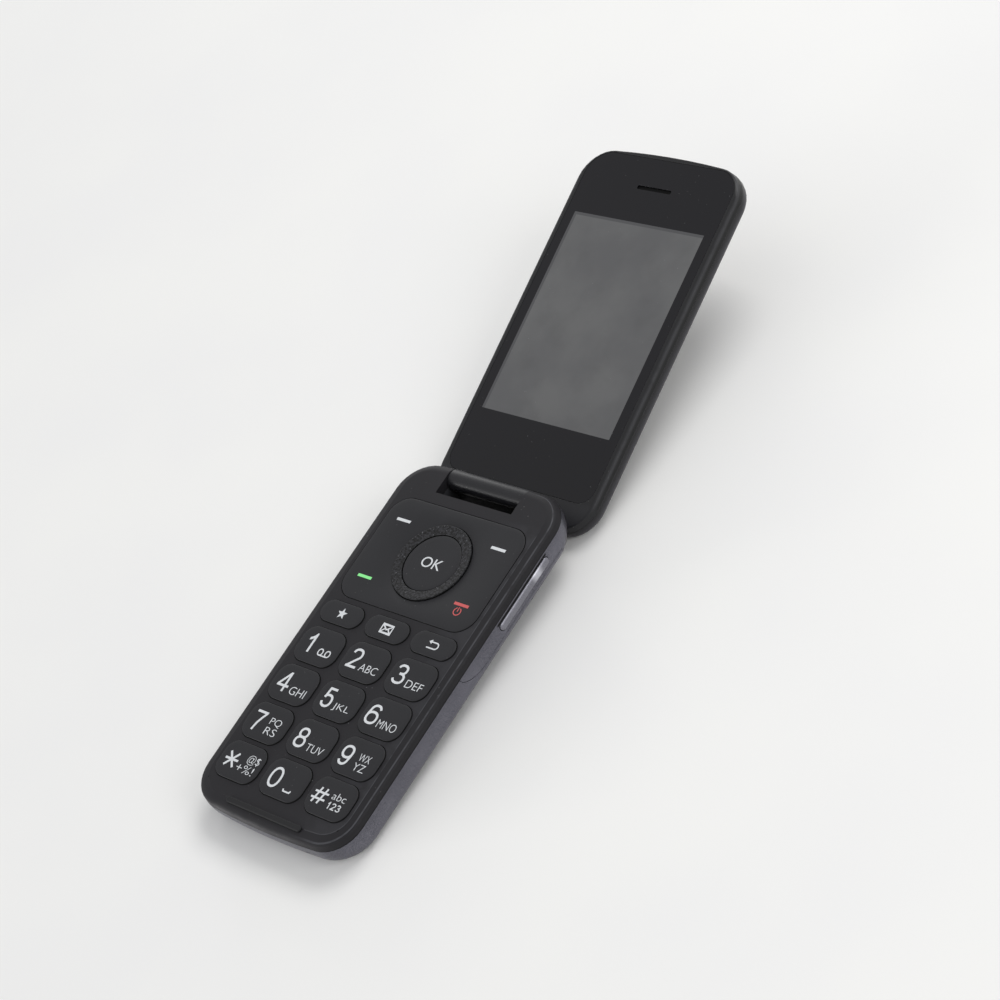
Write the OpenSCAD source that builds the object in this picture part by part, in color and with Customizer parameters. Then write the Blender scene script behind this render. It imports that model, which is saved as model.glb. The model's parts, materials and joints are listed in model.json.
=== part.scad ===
// Clamshell phone, open. Millimetres, +Z up, +Y towards the hinge, +X to the right of the keypad.
// The keypad half lies on its back: the origin is the middle of its flat back face.
// Depths in the keypad half are measured down from the face, depths in the lid from its inner face.

/* [Body] */
// Width across both halves
body_w = 53; // [52:0.25:54.5]
// Length of the keypad half at its middle
base_l = 105.4; // [104.6:0.2:107]
// Thickness of the keypad half
base_t = 9.8; // [9.7:0.1:10.6]
// Corner radius of both halves, seen from above
corner_r = 8.5; // [8:0.25:9]
// How far each end bows out between its corners
end_bow = 1.4; // [1.2:0.1:1.6]
// Rounding along the sides of the back
back_r = 2.4; // [2.2:0.1:2.6]
// Rounding of the back at the chin
chin_r = 4.6; // [4.4:0.1:4.8]
// Wall of the battery cover and of the lid's outer shell
wall = 1; // [0.9:0.05:1.05]
// Width of the bevelled border round the face
border_w = 2.6; // [2.5:0.05:2.7]
// Depth of the seam under the face shell
seam_depth = 2.6; // [2.5:0.05:2.7]
// Height of the seam over the battery cover beside the sockets
cover_low_z = 2.6; // [2.4:0.1:2.7]
// Thickness of the face plate round the keys
face_t = 1.2; // [1.1:0.05:1.25]
// Wall of the face shell
rim_t = 1.3; // [1.2:0.05:1.4]

/* [Hinge] */
// Depth of the hinge axis under the face, also the radius of the ears about it
axis_depth = 3.05; // [3:0.05:3.2]
// Diameter of the lid's barrel
barrel_d = 5.5; // [5.4:0.05:5.6]
// Width of the notch between the ears
notch_w = 25.9; // [25.5:0.1:26.5]
// Distance of the notch's wall from the hinge axis
notch_run = 6.2; // [6:0.1:6.4]
// Distance of the lid's inner face from the hinge axis
lid_drop = 6.9; // [6.85:0.05:7.1]
// Tilt of the opened lid above the line of the face
open_tilt = 12.1; // [11.5:0.1:12.5]
// Diameter of the cam cartridge in the barrel
cartridge_d = 4; // [3.9:0.05:4.05]
// Diameter of the cam shaft in the left ear
cam_d = 2.8; // [2.7:0.1:2.9]
// Outer diameter of the hollow pivot bushing
bushing_d = 3.8; // [3.7:0.05:3.9]
// Bore of the pivot bushing
bushing_bore = 2.8; // [2.7:0.05:2.9]

/* [Lid] */
// Length of the lid from the hinge axis to its free end
lid_reach = 99.4; // [98.6:0.2:99.8]
// Length of the lid's heel behind the hinge axis
lid_heel = 4.3; // [4.1:0.1:4.4]
// Thickness of the lid
lid_t = 5.9; // [5.8:0.05:6.2]
// Rounding along the edges of the lid's outer face
lid_r = 2.2; // [2:0.1:2.4]
// Depth of the seam between the lid's two shells
lid_seam = 2.1; // [2.05:0.05:2.2]
// Border of the lid beside the main display window
window_side = 1.9; // [1.8:0.05:2.1]
// Border of the lid above the main display window
window_top = 1.6; // [1.5:0.1:1.8]
// Distance of the window's lower edge from the hinge axis
window_v = 4.6; // [4.5:0.1:5]
// Radius of the main display window's upper corners
window_r = 7; // [6.5:0.25:7.5]
// Radius of the main display window's lower corners
window_foot_r = 4.2; // [3.8:0.1:4.6]
// Thickness of the main display window
window_t = 0.9; // [0.8:0.05:0.95]
// Distance of the display's picture from each side of the lid
picture_side = 4.8; // [4.6:0.05:5]
// Distance of the picture's lower edge from the hinge axis
picture_v = 22.2; // [22:0.1:22.6]
// Distance of the picture's upper edge from the lid's free end
picture_top = 19.7; // [19.4:0.1:20]
// Width of the outer display window
outer_window_w = 32; // [30:0.5:34]
// Length of the outer display window
outer_window_l = 29; // [28:0.5:30]
// Diameter of the camera lens cover
lens_d = 8; // [7.6:0.1:8.4]
// Distance of the earpiece slot from the lid's free end
slot_top = 9.95; // [9.6:0.05:10.2]
// Width of the earpiece slot
ear_slot_w = 11.3; // [11:0.1:11.6]
// Height of the earpiece slot
ear_slot_h = 1.1; // [1:0.05:1.2]

/* [Keys] */
// Distance of the keys from each side of the phone
keys_side = 3.68; // [3.6:0.02:3.9]
// Gap between two columns of keys
column_gap = 1.82; // [1.6:0.02:2]
// Gap between two rows of number keys
row_gap = 1.38; // [1.3:0.02:1.6]
// Distance of the lowest keys from the chin's end
keys_chin = 7.71; // [7.69:0.01:7.8]
// Corner radius of a number key
key_r = 3.5; // [3.2:0.1:3.8]
// Height of a function key
pill_l = 6.2; // [6:0.1:6.3]
// Gap between the soft key plate and the function keys
pill_gap = 1.75; // [1.65:0.05:1.9]
// Gap between the function keys and the number keys
number_gap = 1.85; // [1.75:0.05:2]
// How far the keys stand above the face
key_raise = 0.4; // [0.35:0.05:0.45]
// Travel of a key
key_travel = 0.3; // [0.25:0.05:0.35]
// Gap round each key
key_gap = 0.15; // [0.12:0.01:0.16]
// Height of the soft key plate
plate_l = 30.8; // [30.6:0.1:31]
// Distance of the soft key plate from the notch
plate_top = 3.3; // [3.2:0.05:3.5]
// Corner radius of the soft key plate
plate_r = 5.5; // [5.4:0.1:5.8]
// How far the soft key plate stands above the face
plate_raise = 0.2; // [0.15:0.05:0.25]
// Outer diameter of the navigation ring
ring_d = 22; // [21.6:0.1:22.2]
// How far the navigation ring stands above its plate
ring_raise = 0.42; // [0.36:0.02:0.46]
// Diameter of the OK key
ok_d = 16.4; // [16:0.1:16.6]
// Length of the volume key
volume_l = 21.5; // [21:0.25:22]
// Height of the volume key
volume_h = 2.3; // [2.2:0.05:2.4]
// How far the volume key stands out of the side
volume_raise = 0.5; // [0.45:0.05:0.6]
// Length of the rubber bar at the chin
cushion_l = 26; // [25:0.5:27]
// Width of the rubber bar
cushion_w = 1.5; // [1.4:0.05:1.6]
// Height of the rubber bar above the face
cushion_raise = 0.4; // [0.35:0.05:0.45]

/* [Inside] */
// Distance of the battery from each side of the phone
battery_side = 7.2; // [7:0.1:7.5]
// Distance of the battery from the chin's end
battery_chin = 8.8; // [8.7:0.1:9.2]
// Distance of the battery from the notch
battery_top = 30.55; // [30.4:0.05:31]
// Thickness of the battery
battery_t = 3.7; // [3.6:0.05:3.75]
// Thickness of the shelf between battery and main board
shelf_t = 0.6; // [0.55:0.05:0.65]
// Thickness of the main board
board_t = 0.8; // [0.75:0.05:0.85]
// Thickness of the dome sheet
dome_t = 0.25; // [0.2:0.05:0.3]
// Bore of the headset jack
jack_d = 3.56; // [3.5:0.02:3.6]
// Diameter of the screw shanks
screw_d = 1.4; // [1.3:0.1:1.5]
// Length of the loudspeaker
speaker_l = 17; // [16:0.5:17.5]
// Thickness of the loudspeaker
speaker_t = 2.7; // [2.6:0.05:2.8]
// Diameter of the vibration motor
motor_d = 3.5; // [3.4:0.05:3.6]
// Length of the vibration motor
motor_l = 10; // [9.5:0.25:10.5]
// Width of the card holder
card_w = 12.2; // [12:0.1:12.4]
// Length of the card holder
card_l = 15.4; // [15:0.1:15.8]
// Thickness of the card holder
card_t = 1.5; // [1.4:0.05:1.6]
// Length of the headset jack
jack_l = 12.4; // [12:0.1:12.6]
// Width of the charging socket
usb_w = 7.8; // [7.6:0.1:8]
// Height of the charging socket
usb_h = 2.7; // [2.6:0.05:2.8]
// Depth of the charging socket
usb_l = 5.6; // [5.4:0.1:5.8]
// Diameter of the microphone
mic_d = 2.7; // [2.6:0.1:2.8]
// Thickness of the main display module
module_t = 2; // [1.9:0.05:2.05]
// Running clearance of the pivots, on the radius
fit_gap = 0.04; // [0.03:0.01:0.06]
// Clearance of pieces that are set in place
seat_gap = 0.1; // [0.08:0.01:0.12]

/* [Hidden] */
$fn = 48;

corner_steps = 8;
end_steps = 6;
eps = 0.01;
far = 200;

half_w = body_w / 2;
hinge_y = base_l / 2;
chin_y = -base_l / 2;
axis_y = hinge_y - axis_depth;
axis_z = base_t - axis_depth;
barrel_r = barrel_d / 2;
notch_y = axis_y - notch_run;
heel_y = axis_y - 2.5;
ear_wall = 1.2;
seam_z = base_t - seam_depth;

// Rows and columns of the keypad, down from the notch
keys_w = body_w - 2 * keys_side;
key_w = (keys_w - 2 * column_gap) / 3;
column = key_w + column_gap;
plate_y = notch_y - plate_top - plate_l / 2;
pill_y = plate_y - plate_l / 2 - pill_gap - pill_l / 2;
keys_top = pill_y - pill_l / 2 - number_gap;
key_l = (keys_top - chin_y - keys_chin - 3 * row_gap) / 4;
row = key_l + row_gap;
row_y = keys_top - key_l / 2;

// Key caps: flange that the face plate holds down, small step round the crown
flange_w = 0.5;
flange_t = 0.6;
crown = 0.15;
plate_under_z = base_t - face_t;
key_base_z = plate_under_z - seat_gap - flange_t;
ring_r = ring_d / 2;
ok_r = ok_d / 2;
ring_flange = 0.65;
ring_base_z = key_base_z + 0.05;
well_z = key_base_z + 1.3;
pad_t = 0.35;
cushion_y = chin_y + 3.2;
cushion_z = plate_under_z + 0.3;

// Levels of the stack inside the keypad half
sheet_gap = 0.02;
shelf_z = wall + battery_t + 3 * seat_gap;
board_z = shelf_z + shelf_t + sheet_gap;
dome_z = board_z + board_t + sheet_gap;
mat_z = dome_z + dome_t + 0.05;
mat_top_z = key_base_z - key_travel - seat_gap;
membrane_t = 0.26;
carrier_in = wall + 0.15;
carrier_wall = 1;
cavity_in = carrier_in + carrier_wall;
board_y0 = chin_y + end_bow + cavity_in;
board_y1 = notch_y - ear_wall;
bay_y1 = notch_y - battery_top;
bay_y0 = chin_y + battery_chin;
battery_w = body_w - 2 * battery_side;
battery_l = bay_y1 - bay_y0 - 2 * seat_gap;

// Seam of the battery cover: level, then a quarter curve down to the strip beside the sockets
cover_y1 = notch_y - 1.45;
curve_y = notch_y - 35;
curve_l = 9;
hollow_r = 16.5;
hollow_depth = 0.6;

// Screws of the keypad half
screw_r = screw_d / 2;
head_r = screw_r + 0.75;
head_t = 0.7;
head_z = 3.2;
boss_r = screw_r + 0.8;
top_screw = [half_w - 3.9, notch_y - 2.85];
chin_screw = [half_w - 8.9, chin_y + boss_r + 2];
screw_spots = [top_screw, [-top_screw.x, top_screw.y], chin_screw, [-chin_screw.x, chin_screw.y]];

// Side features
side_z = (cover_low_z + seam_z) / 2;
side_t = 1.2;
socket_set = 0.1;
volume_y = notch_y - 16.75;
volume_z = base_t - 4.85;
volume_room = 1.4;
volume_x = half_w - side_t;
volume_depth = 2.9;
jack_y = plate_y;
jack_r = jack_d / 2;
jack_nose = 1;
jack_body = 4.2;
jack_x1 = jack_l + jack_nose - half_w;
usb_y = jack_y + jack_body / 2 + 2.7 + usb_w / 2;
usb_x1 = usb_l + socket_set - half_w;

// Compartments above the battery, between the jack and the volume key
part_gap = 1.5;
motor_r = motor_d / 2;
motor_x = volume_x - volume_depth - motor_r - 2.45;
motor_z = 3.55;
motor_y = bay_y1 + 6.1;
weight_l = 2.4;
shaft_r = 0.4;
card_x = jack_x1 + 0.4 + card_w / 2;
card_y = bay_y1 + card_l / 2 + 2.7;
speaker_x0 = card_x + card_w / 2 + part_gap;
speaker_x1 = motor_x - motor_r - part_gap;
speaker_w = speaker_x1 - speaker_x0;
speaker_x = (speaker_x0 + speaker_x1) / 2;
speaker_y = bay_y1 + speaker_l / 2 + 4.6;
speaker_z = 1.9;
slot_pitch = floor(10 * speaker_w / 6.5) / 10;
slot_w = slot_pitch / 2;
contacts_x = 9;
contacts_w = 8;
contacts_l = 2.2;
contact_pitch = 2.6;
mic_r = mic_d / 2;
mic_x = chin_screw.x - boss_r - mic_r - 1.55;
mic_z = board_z - mic_r - 2 * seat_gap;
mic_y = chin_y + 2.8;
mic_l = 1.5;
antenna_x0 = boss_r + 0.6 - chin_screw.x;
antenna_x1 = mic_x - mic_r - 3.5;
antenna_y0 = chin_y + 2.6;
antenna_y1 = bay_y0 - 0.9;
antenna_z = 2.2;

// Levels and places in the lid, whose own frame has its origin on the hinge axis
inner_z = -lid_drop;
outer_z = inner_z - lid_t;
bridge_in = 0.5;
barrel_gap = 0.15;
ledge_t = 0.8;
window_set = 0.05;
ledge_k = window_set + window_t + sheet_gap;
window_w = body_w - 2 * window_side;
window_v1 = lid_reach - window_top;
window_l = window_v1 - window_v;
picture_w = body_w - 2 * picture_side;
picture_l = lid_reach - picture_v - picture_top;
module_w = picture_w + 3;
module_l = picture_l + 5.4;
module_v = picture_v + picture_l / 2;
module_k = ledge_k + 0.03;
lid_rim = 1.7;
lid_board_k = module_k + module_t + 0.05;
lid_board_t = 0.6;
lid_board_w = body_w - 6;
lid_board_v0 = window_v + 3.4;
lid_board_v1 = lid_reach - 3;
slot_v = lid_reach - slot_top;
earpiece_w = ear_slot_w + 0.7;
earpiece_l = 6;
outer_v = lid_reach - 38.4;
outer_display_k = lid_board_k + lid_board_t + 0.05;
outer_window_t = 0.6;
outer_window_r = 3;
outer_frame = 1.5;
camera_v = lid_reach - 14.9;
camera_w = 7;
lens_r = lens_d / 2;
lens_t = 0.5;
lid_screw_x = half_w - 5.2;
lid_screw_spots = [for (x = [-1, 1]) for (v = [window_v + 7.4, lid_reach - 7.4]) [x * lid_screw_x, v]];
lid_head_t = 0.5;

// Pivots on the hinge axis: the cam in the left ear, the hollow bushing in the right one
pivot_x = half_w - corner_r + 0.1;
nose_r = cam_d / 2 - 0.5;
nose_l = 3;
cartridge_x = 1;
flex_w = 3.4;
flex_x = 5;
flex_t = 0.24;
bushing_x0 = flex_x + flex_w / 2 + 0.3;

// ---- outlines and lofts ----

function arc(cx, cy, r, from) =
    [for (i = [0:corner_steps]) let (a = from + 90 * i / corner_steps) [cx + r * cos(a), cy + r * sin(a)]];

function end_points(x, y) = [for (i = [1:end_steps - 1]) [x * (1 - 2 * i / end_steps), y]];

// Rounded rectangle from y0 to y1 whose two ends bow outwards
function outline(hw, y0, y1, r) =
    let (
        lo = y0 + end_bow,
        hi = y1 - end_bow,
        pts = concat(
            arc(hw - r, hi - r, r, 0), end_points(hw - r, hi), arc(r - hw, hi - r, r, 90),
            arc(r - hw, lo + r, r, 180), end_points(r - hw, lo), arc(hw - r, lo + r, r, 270)
        )
    )
    [for (p = pts) [p.x, p.y + end_bow * (1 - pow(p.x / hw, 2)) * sign(p.y - (lo + hi) / 2)]];

// Closed solid through a list of [z, outline] rings, lowest first
module loft(rings) {
    n = len(rings[0][1]);
    m = len(rings);
    sides = [
        for (i = [0:m - 2])
            for (j = [0:n - 1])
                let (a = i * n + j, b = i * n + (j + 1) % n)
                    each [[a, a + n, b + n], [a, b + n, b]]
    ];
    bottom = [for (j = [0:n - 1]) j];
    top = [for (j = [n - 1:-1:0]) (m - 1) * n + j];
    points = [for (g = rings) for (p = g[1]) [p.x, p.y, g[0]]];
    polyhedron(points = points, faces = concat([bottom, top], sides));
}

// The depths from d1 back to d0, with the samples that lie between them
function descending(samples, d0, d1) =
    concat([d1], [for (i = [len(samples) - 1:-1:0]) if (samples[i] > d0 + eps && samples[i] < d1 - eps) samples[i]], [d0]);

function round_in(d, r) = r * (1 - sqrt(max(0, 1 - pow(d / r, 2))));

// Border of the face: [depth, how far it lies inside the full width]
border = [[0, border_w], [0.1, border_w - 0.15], [0.28, 1.5], [0.5, 0.65], [0.9, 0.2], [seam_depth, 0]];
chin_border = 1.25;
// Keypad half: how far an edge lies inside at depth h, for a skin w thick and a rounding r under it
function edge_in(h, w, r, k) =
    h > base_t - r ? w + round_in(h - base_t + r, r - w) : w > 0 ? w : k * lookup(h, border);
function side_in(h, w) = edge_in(h, w, back_r, 1);
function chin_in(h, w) = edge_in(h, w, chin_r, chin_border);
function end_y(h, w) =
    h <= axis_depth
        ? axis_y + sqrt(max(0, pow(axis_depth, 2) - pow(axis_depth - h, 2))) - w
        : heel_y + (hinge_y - w - heel_y) * sqrt(max(0, 1 - pow((h - axis_depth) / (base_t - w - axis_depth), 2)));

function base_ring(h, w) =
    let (s = side_in(h, w), y0 = chin_y + chin_in(h, w))
    [base_t - h, outline(half_w - s, y0, end_y(h, w), max(2, corner_r - s))];

function base_depths(h0, h1, w) =
    let (
        samples = concat(
            [0.1, 0.28, 0.5, 0.9, 1.4, 2.1, axis_depth, 4.2, base_t - chin_r],
            [for (a = [20, 36, 50, 62, 72, 80, 86]) base_t - chin_r + (chin_r - w) * sin(a)]
        )
    )
    descending(samples, h0, h1);

module base_skin(h0, h1, w = 0) loft([for (h = base_depths(h0, h1, w)) base_ring(h, w)]);

// Lid: the same for its own section, at depth k from the inner face
lid_border = [[0, 1.1], [0.3, 0.3], [lid_seam, 0.05], [lid_seam + 0.25, 0]];
function lid_in(k, w) =
    k > lid_t - lid_r ? w + round_in(k - lid_t + lid_r, lid_r - w) : w > 0 ? w : lookup(k, lid_border);
function lid_end_in(k, w) = k > lid_t - lid_r ? lid_in(k, w) : min(lid_in(k, w), max(0.5, w));
function lid_ring(k, w) =
    let (s = lid_in(k, w), e = lid_end_in(k, w))
    [inner_z - k, outline(half_w - s, e - lid_heel, lid_reach - e, max(2, corner_r - s))];
function lid_depths(k0, k1, w) =
    let (
        samples = concat(
            [0.3, lid_seam + 0.25, lid_t - lid_r],
            [for (a = [25, 45, 62, 78]) lid_t - lid_r + (lid_r - w) * sin(a)]
        )
    )
    descending(samples, k0, k1);

module lid_skin(k0, k1, w = 0) loft([for (k = lid_depths(k0, k1, w)) lid_ring(k, w)]);

// Places its children in the lid's frame
module in_lid() translate([0, axis_y, axis_z]) rotate([open_tilt, 0, 0]) children();

// ---- small exact shapes ----

module rounded(w, l, r) {
    square([w, l - 2 * r], center = true);
    square([w - 2 * r, l], center = true);
    for (x = [-1, 1])
        for (y = [-1, 1])
            translate([x * (w / 2 - r), y * (l / 2 - r)]) circle(r);
}

// Rounded slab from z0 to z1 round the point at
module slab(at, w, l, r, z0, z1) translate([at.x, at.y, z0]) linear_extrude(z1 - z0) rounded(w, l, r);

// Box from one corner to the opposite one
module box(a, b) translate(a) cube(b - a);

// Cylinder along X from x0 to x1
module rod(x0, x1, r, y = 0, z = 0) translate([x0, y, z]) rotate([0, 90, 0]) cylinder(r = r, h = x1 - x0);

// Upright cylinder
module post(at, r, z0, z1) translate([at.x, at.y, z0]) cylinder(r = r, h = z1 - z0);

// Outline of the main display window, wider by gap all round: small radii below, large ones above
module window_outline(gap) {
    half = window_l / 2 + window_r;
    translate([0, window_v - gap + half / 2]) rounded(window_w + 2 * gap, half, window_foot_r + gap);
    translate([0, window_v1 + gap - half / 2]) rounded(window_w + 2 * gap, half, window_r + gap);
}

// ---- keypad half: shells ----

module notch() box([-notch_w / 2, notch_y, -far], [notch_w / 2, far, far]);

// Everything below the curved seam of the battery cover, drawn back from it by gap
module cover_block(gap = 0) {
    curve_z = seam_z - cover_low_z;
    edge = [for (a = [0:15:90]) [curve_y - curve_l * cos(a) - gap, seam_z - curve_z * sin(a) - gap]];
    points = concat([[-far, -far], [-far, seam_z - gap]], edge,
        [[cover_y1 - gap, cover_low_z - gap], [cover_y1 - gap, -far]]);
    rotate([90, 0, 90]) translate([0, 0, -far]) linear_extrude(2 * far) polygon(points);
}

// Openings in the face for the keys, wider than them by gap all round
module key_holes(gap, z0, z1) {
    for (c = [-1:1]) {
        for (r = [0:3])
            slab([c * column, row_y - r * row], key_w + 2 * gap, key_l + 2 * gap, key_r + gap, z0, z1);
        slab([c * column, pill_y], key_w + 2 * gap, pill_l + 2 * gap, pill_l / 2 + gap - eps, z0, z1);
    }
    slab([0, plate_y], keys_w + 2 * gap, plate_l + 2 * gap, plate_r + gap, z0, z1);
}

module front_housing() color("#2f3032") difference() {
    hollow_y0 = chin_y + end_bow + rim_t;
    union() {
        difference() {
            base_skin(0, seam_depth);
            slab([0, (hollow_y0 + board_y1) / 2], body_w - 2 * rim_t, board_y1 - hollow_y0, corner_r - rim_t,
                seam_z - 1, plate_under_z);
        }
        for (s = screw_spots) post(s, boss_r, board_z, plate_under_z + eps);
    }
    key_holes(key_gap, plate_under_z - 1, base_t + 1);
    notch();
    slab([0, cushion_y], cushion_l + 2 * sheet_gap, cushion_w + 2 * sheet_gap, cushion_w / 2,
        cushion_z, base_t + 1);
    for (s = screw_spots) post(s, screw_r + sheet_gap, board_z - 1, plate_under_z - 0.3);
    ear_bores();
}

// Blind bores of the two ears: the cam shaft's seat on the left, the bushing's bearing on the right
module ear_bores() {
    rod(-pivot_x, -notch_w / 2 + 1, cam_d / 2 + sheet_gap, axis_y, axis_z);
    rod(notch_w / 2 - 1, pivot_x, bushing_d / 2 + fit_gap, axis_y, axis_z);
}

module sound_slots(z0, z1)
    for (i = [-2:2])
        slab([speaker_x + i * slot_pitch, speaker_y], slot_w, speaker_l / 2, 0.4 * slot_w, z0, z1);

module rear_housing() color("#7d7987") difference() {
    union() {
        difference() {
            base_skin(seam_depth, base_t);
            cover_block();
        }
        base_skin(seam_depth, base_t - carrier_in, carrier_in);
    }
    notch();
    ear_bores();
    slab([0, (board_y0 + board_y1) / 2], body_w - 2 * cavity_in, board_y1 - board_y0, corner_r - cavity_in,
        shelf_z + shelf_t, seam_z + 1);
    box([-battery_w / 2 - seat_gap, bay_y0, -1], [battery_w / 2 + seat_gap, bay_y1, shelf_z]);
    box([contacts_x - contacts_w / 2 - seat_gap, bay_y1 - 1, antenna_z - 0.4],
        [contacts_x + contacts_w / 2 + seat_gap, bay_y1 + contacts_l + seat_gap, shelf_z]);
    slab([card_x, card_y], card_w + 2 * seat_gap, card_l + 2 * seat_gap, 0.8, -1, shelf_z);
    slab([speaker_x, speaker_y], speaker_w + 2 * seat_gap, speaker_l + 2 * seat_gap, 1.5,
        speaker_z - sheet_gap, seam_z);
    sound_slots(-1, speaker_z + 1);
    box([motor_x - motor_r - seat_gap, motor_y - seat_gap, motor_z - motor_r - sheet_gap],
        [motor_x + motor_r + seat_gap, motor_y + motor_l + weight_l + 1, seam_z]);
    side_openings();
    for (s = screw_spots) {
        post(s, head_r + seat_gap, -1, head_z + head_t);
        post(s, screw_r + seat_gap, 0, seam_z);
        post(s, boss_r + seat_gap, board_z - sheet_gap, seam_z + 1);
    }
    translate([mic_x, mic_y - 0.05, mic_z]) rotate([-90, 0, 0]) cylinder(r = mic_r + seat_gap, h = 2 * mic_l);
    mic_hole();
    box([antenna_x0 - seat_gap, antenna_y0 - seat_gap, antenna_z - seat_gap],
        [antenna_x1 + seat_gap, antenna_y1 + seat_gap, seam_z]);
}

// The volume key's window and room, the charging socket and the headset jack
module side_openings() {
    room = volume_l / 2 + volume_room;
    box([volume_x - volume_depth, volume_y - room, volume_z - volume_h / 2 - 0.8],
        [volume_x, volume_y + room, seam_z + 1]);
    volume_slab(volume_x - 1, half_w + 1, key_gap);
    box([-half_w - 1, usb_y - usb_w / 2 - seat_gap, side_z - usb_h / 2 - seat_gap],
        [usb_x1 + seat_gap, usb_y + usb_w / 2 + seat_gap, side_z + usb_h / 2 + seat_gap]);
    rod(-half_w - 1, jack_nose + seat_gap - half_w, jack_r + 0.5, jack_y, side_z);
    box([jack_nose - half_w, jack_y - jack_body / 2 - seat_gap, side_z - jack_body / 2 - seat_gap],
        [jack_x1 + seat_gap, jack_y + jack_body / 2 + seat_gap, seam_z + 1]);
}

// A long slab with round ends on the right side, from x0 to x1, wider than the volume key by grow
module volume_slab(x0, x1, grow) translate([x0, volume_y, volume_z]) rotate([90, 0, 90])
    linear_extrude(x1 - x0) rounded(volume_l + 2 * grow, volume_h + 2 * grow, volume_h / 2 + grow - eps);

module mic_hole() translate([mic_x, mic_y + 0.5, mic_z]) rotate([90, 0, 0])
    linear_extrude(6) rounded(1.6, 0.6, 0.3 - eps);

module battery_cover() color("#777380") difference() {
    intersection() {
        base_skin(seam_depth, base_t);
        cover_block(seat_gap);
    }
    base_skin(seam_depth - 0.5, base_t - wall, wall);
    sound_slots(-1, wall + 1);
    mic_hole();
    thumb_hollow();
}

// Shallow hollow at the cover's edge, by which it is slid off
module thumb_hollow() translate([0, cover_y1 - 5, hollow_depth - hollow_r]) sphere(r = hollow_r, $fn = 96);

// ---- keypad half: inside ----

module battery() color("#3c4148")
    slab([0, (bay_y0 + bay_y1) / 2], battery_w, battery_l, 1.5, wall + seat_gap, wall + seat_gap + battery_t);

module battery_contacts() {
    x0 = contacts_x - contacts_w / 2;
    color("#1c1c1e") box([x0, bay_y1, antenna_z - 0.3], [x0 + contacts_w, bay_y1 + contacts_l, shelf_z - seat_gap]);
    color("#c9a14a")
        for (i = [-1:1])
            box([contacts_x + contact_pitch * i - 0.4, bay_y1 - seat_gap + sheet_gap, 2.4],
                [contacts_x + contact_pitch * i + 0.4, bay_y1, 3.9]);
}

// Outline shared by the board, the dome sheet and the mat, with the same cut-outs
module layer(z0, z1, edge, bosses) difference() {
    y0 = board_y0 + edge;
    y1 = board_y1 - edge;
    slab([0, (y0 + y1) / 2], body_w - 2 * cavity_in - 2 * edge, y1 - y0, corner_r - cavity_in - edge, z0, z1);
    for (s = screw_spots) post(s, bosses, z0 - 1, z1 + 1);
    box([-far, jack_y - jack_body / 2 - 2 * seat_gap, z0 - 1],
        [jack_x1 + 2 * seat_gap, jack_y + jack_body / 2 + 2 * seat_gap, z1 + 1]);
    box([-far, usb_y - usb_w / 2 - 0.3, z0 - 1], [usb_x1 + 0.3, usb_y + usb_w / 2 + 0.3, z1 + 1]);
    box([volume_x - volume_depth - 2 * seat_gap, volume_y - volume_l / 2 - volume_room, z0 - 1], [far, far, z1 + 1]);
}

module main_board() color("#1d5a3c") layer(board_z, board_z + board_t, 0.2, boss_r + 0.2);

module dome_sheet() color("#c8cdd2") layer(dome_z, dome_z + dome_t, 0.6, boss_r + 0.3);

// Silicone mat: full height under the number keys, a thin membrane under the navigation keys
module keypad_mat() color("#d9dadb") difference() {
    layer(mat_z, mat_top_z, 0.9, boss_r + 0.3);
    box([-far, plate_y - plate_l / 2 - pill_gap / 2, mat_z + membrane_t], [far, far, far]);
}

module lid_cushion() color("#26272a")
    slab([0, cushion_y], cushion_l, cushion_w, cushion_w / 2 - eps, cushion_z, base_t + cushion_raise);

// Charging socket: a folded steel shell round its contact tongue
module usb_socket() {
    color("#b9bcc0") translate([socket_set - half_w, usb_y, side_z]) rotate([90, 0, 90]) difference() {
        linear_extrude(usb_l) rounded(usb_w, usb_h, 0.8);
        translate([0, 0, -1]) linear_extrude(usb_l + 0.6) rounded(usb_w - 0.6, usb_h - 0.6, 0.6);
    }
    color("#1c1c1e")
        box([usb_x1 - 4.5, usb_y - usb_w / 4, side_z - 0.3], [usb_x1 - 0.3, usb_y + usb_w / 4, side_z + 0.3]);
}

module headset_jack() color("#1c1c1e") difference() {
    union() {
        rod(socket_set - half_w, jack_nose - half_w, jack_r + 0.45, jack_y, side_z);
        box([jack_nose - half_w, jack_y - jack_body / 2, side_z - jack_body / 2],
            [jack_x1, jack_y + jack_body / 2, side_z + jack_body / 2]);
    }
    rod(-half_w - 1, jack_x1 - 0.9, jack_r, jack_y, side_z);
}

module loudspeaker() color("#33353a")
    slab([speaker_x, speaker_y], speaker_w, speaker_l, 1.4, speaker_z, speaker_z + speaker_t);

// Small motor whose flat top lies under the board
module vibration_motor() color("#b9bcc0") difference() {
    union() {
        translate([motor_x, motor_y, motor_z]) rotate([-90, 0, 0]) cylinder(r = motor_r, h = motor_l);
        box([motor_x - motor_r, motor_y + 1, motor_z], [motor_x + motor_r, motor_y + motor_l - 1, board_z - sheet_gap]);
    }
    translate([motor_x, motor_y + motor_l - 2, motor_z]) rotate([-90, 0, 0]) cylinder(r = shaft_r + fit_gap, h = 3);
}

// The motor's shaft with its half-round weight
module vibration_weight() color("#8d8578") translate([motor_x, motor_y + motor_l, motor_z]) rotate([-90, 0, 0]) {
    translate([0, 0, -1.9]) cylinder(r = shaft_r, h = 2.2 + weight_l);
    translate([0, 0, 0.3]) difference() {
        cylinder(r = motor_r - 0.1, h = weight_l);
        box([-far, -far, -1], [far, -0.3, weight_l + 1]);
    }
}

module microphone() color("#a9acb0")
    translate([mic_x, mic_y, mic_z]) rotate([-90, 0, 0]) cylinder(r = mic_r, h = mic_l);

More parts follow.
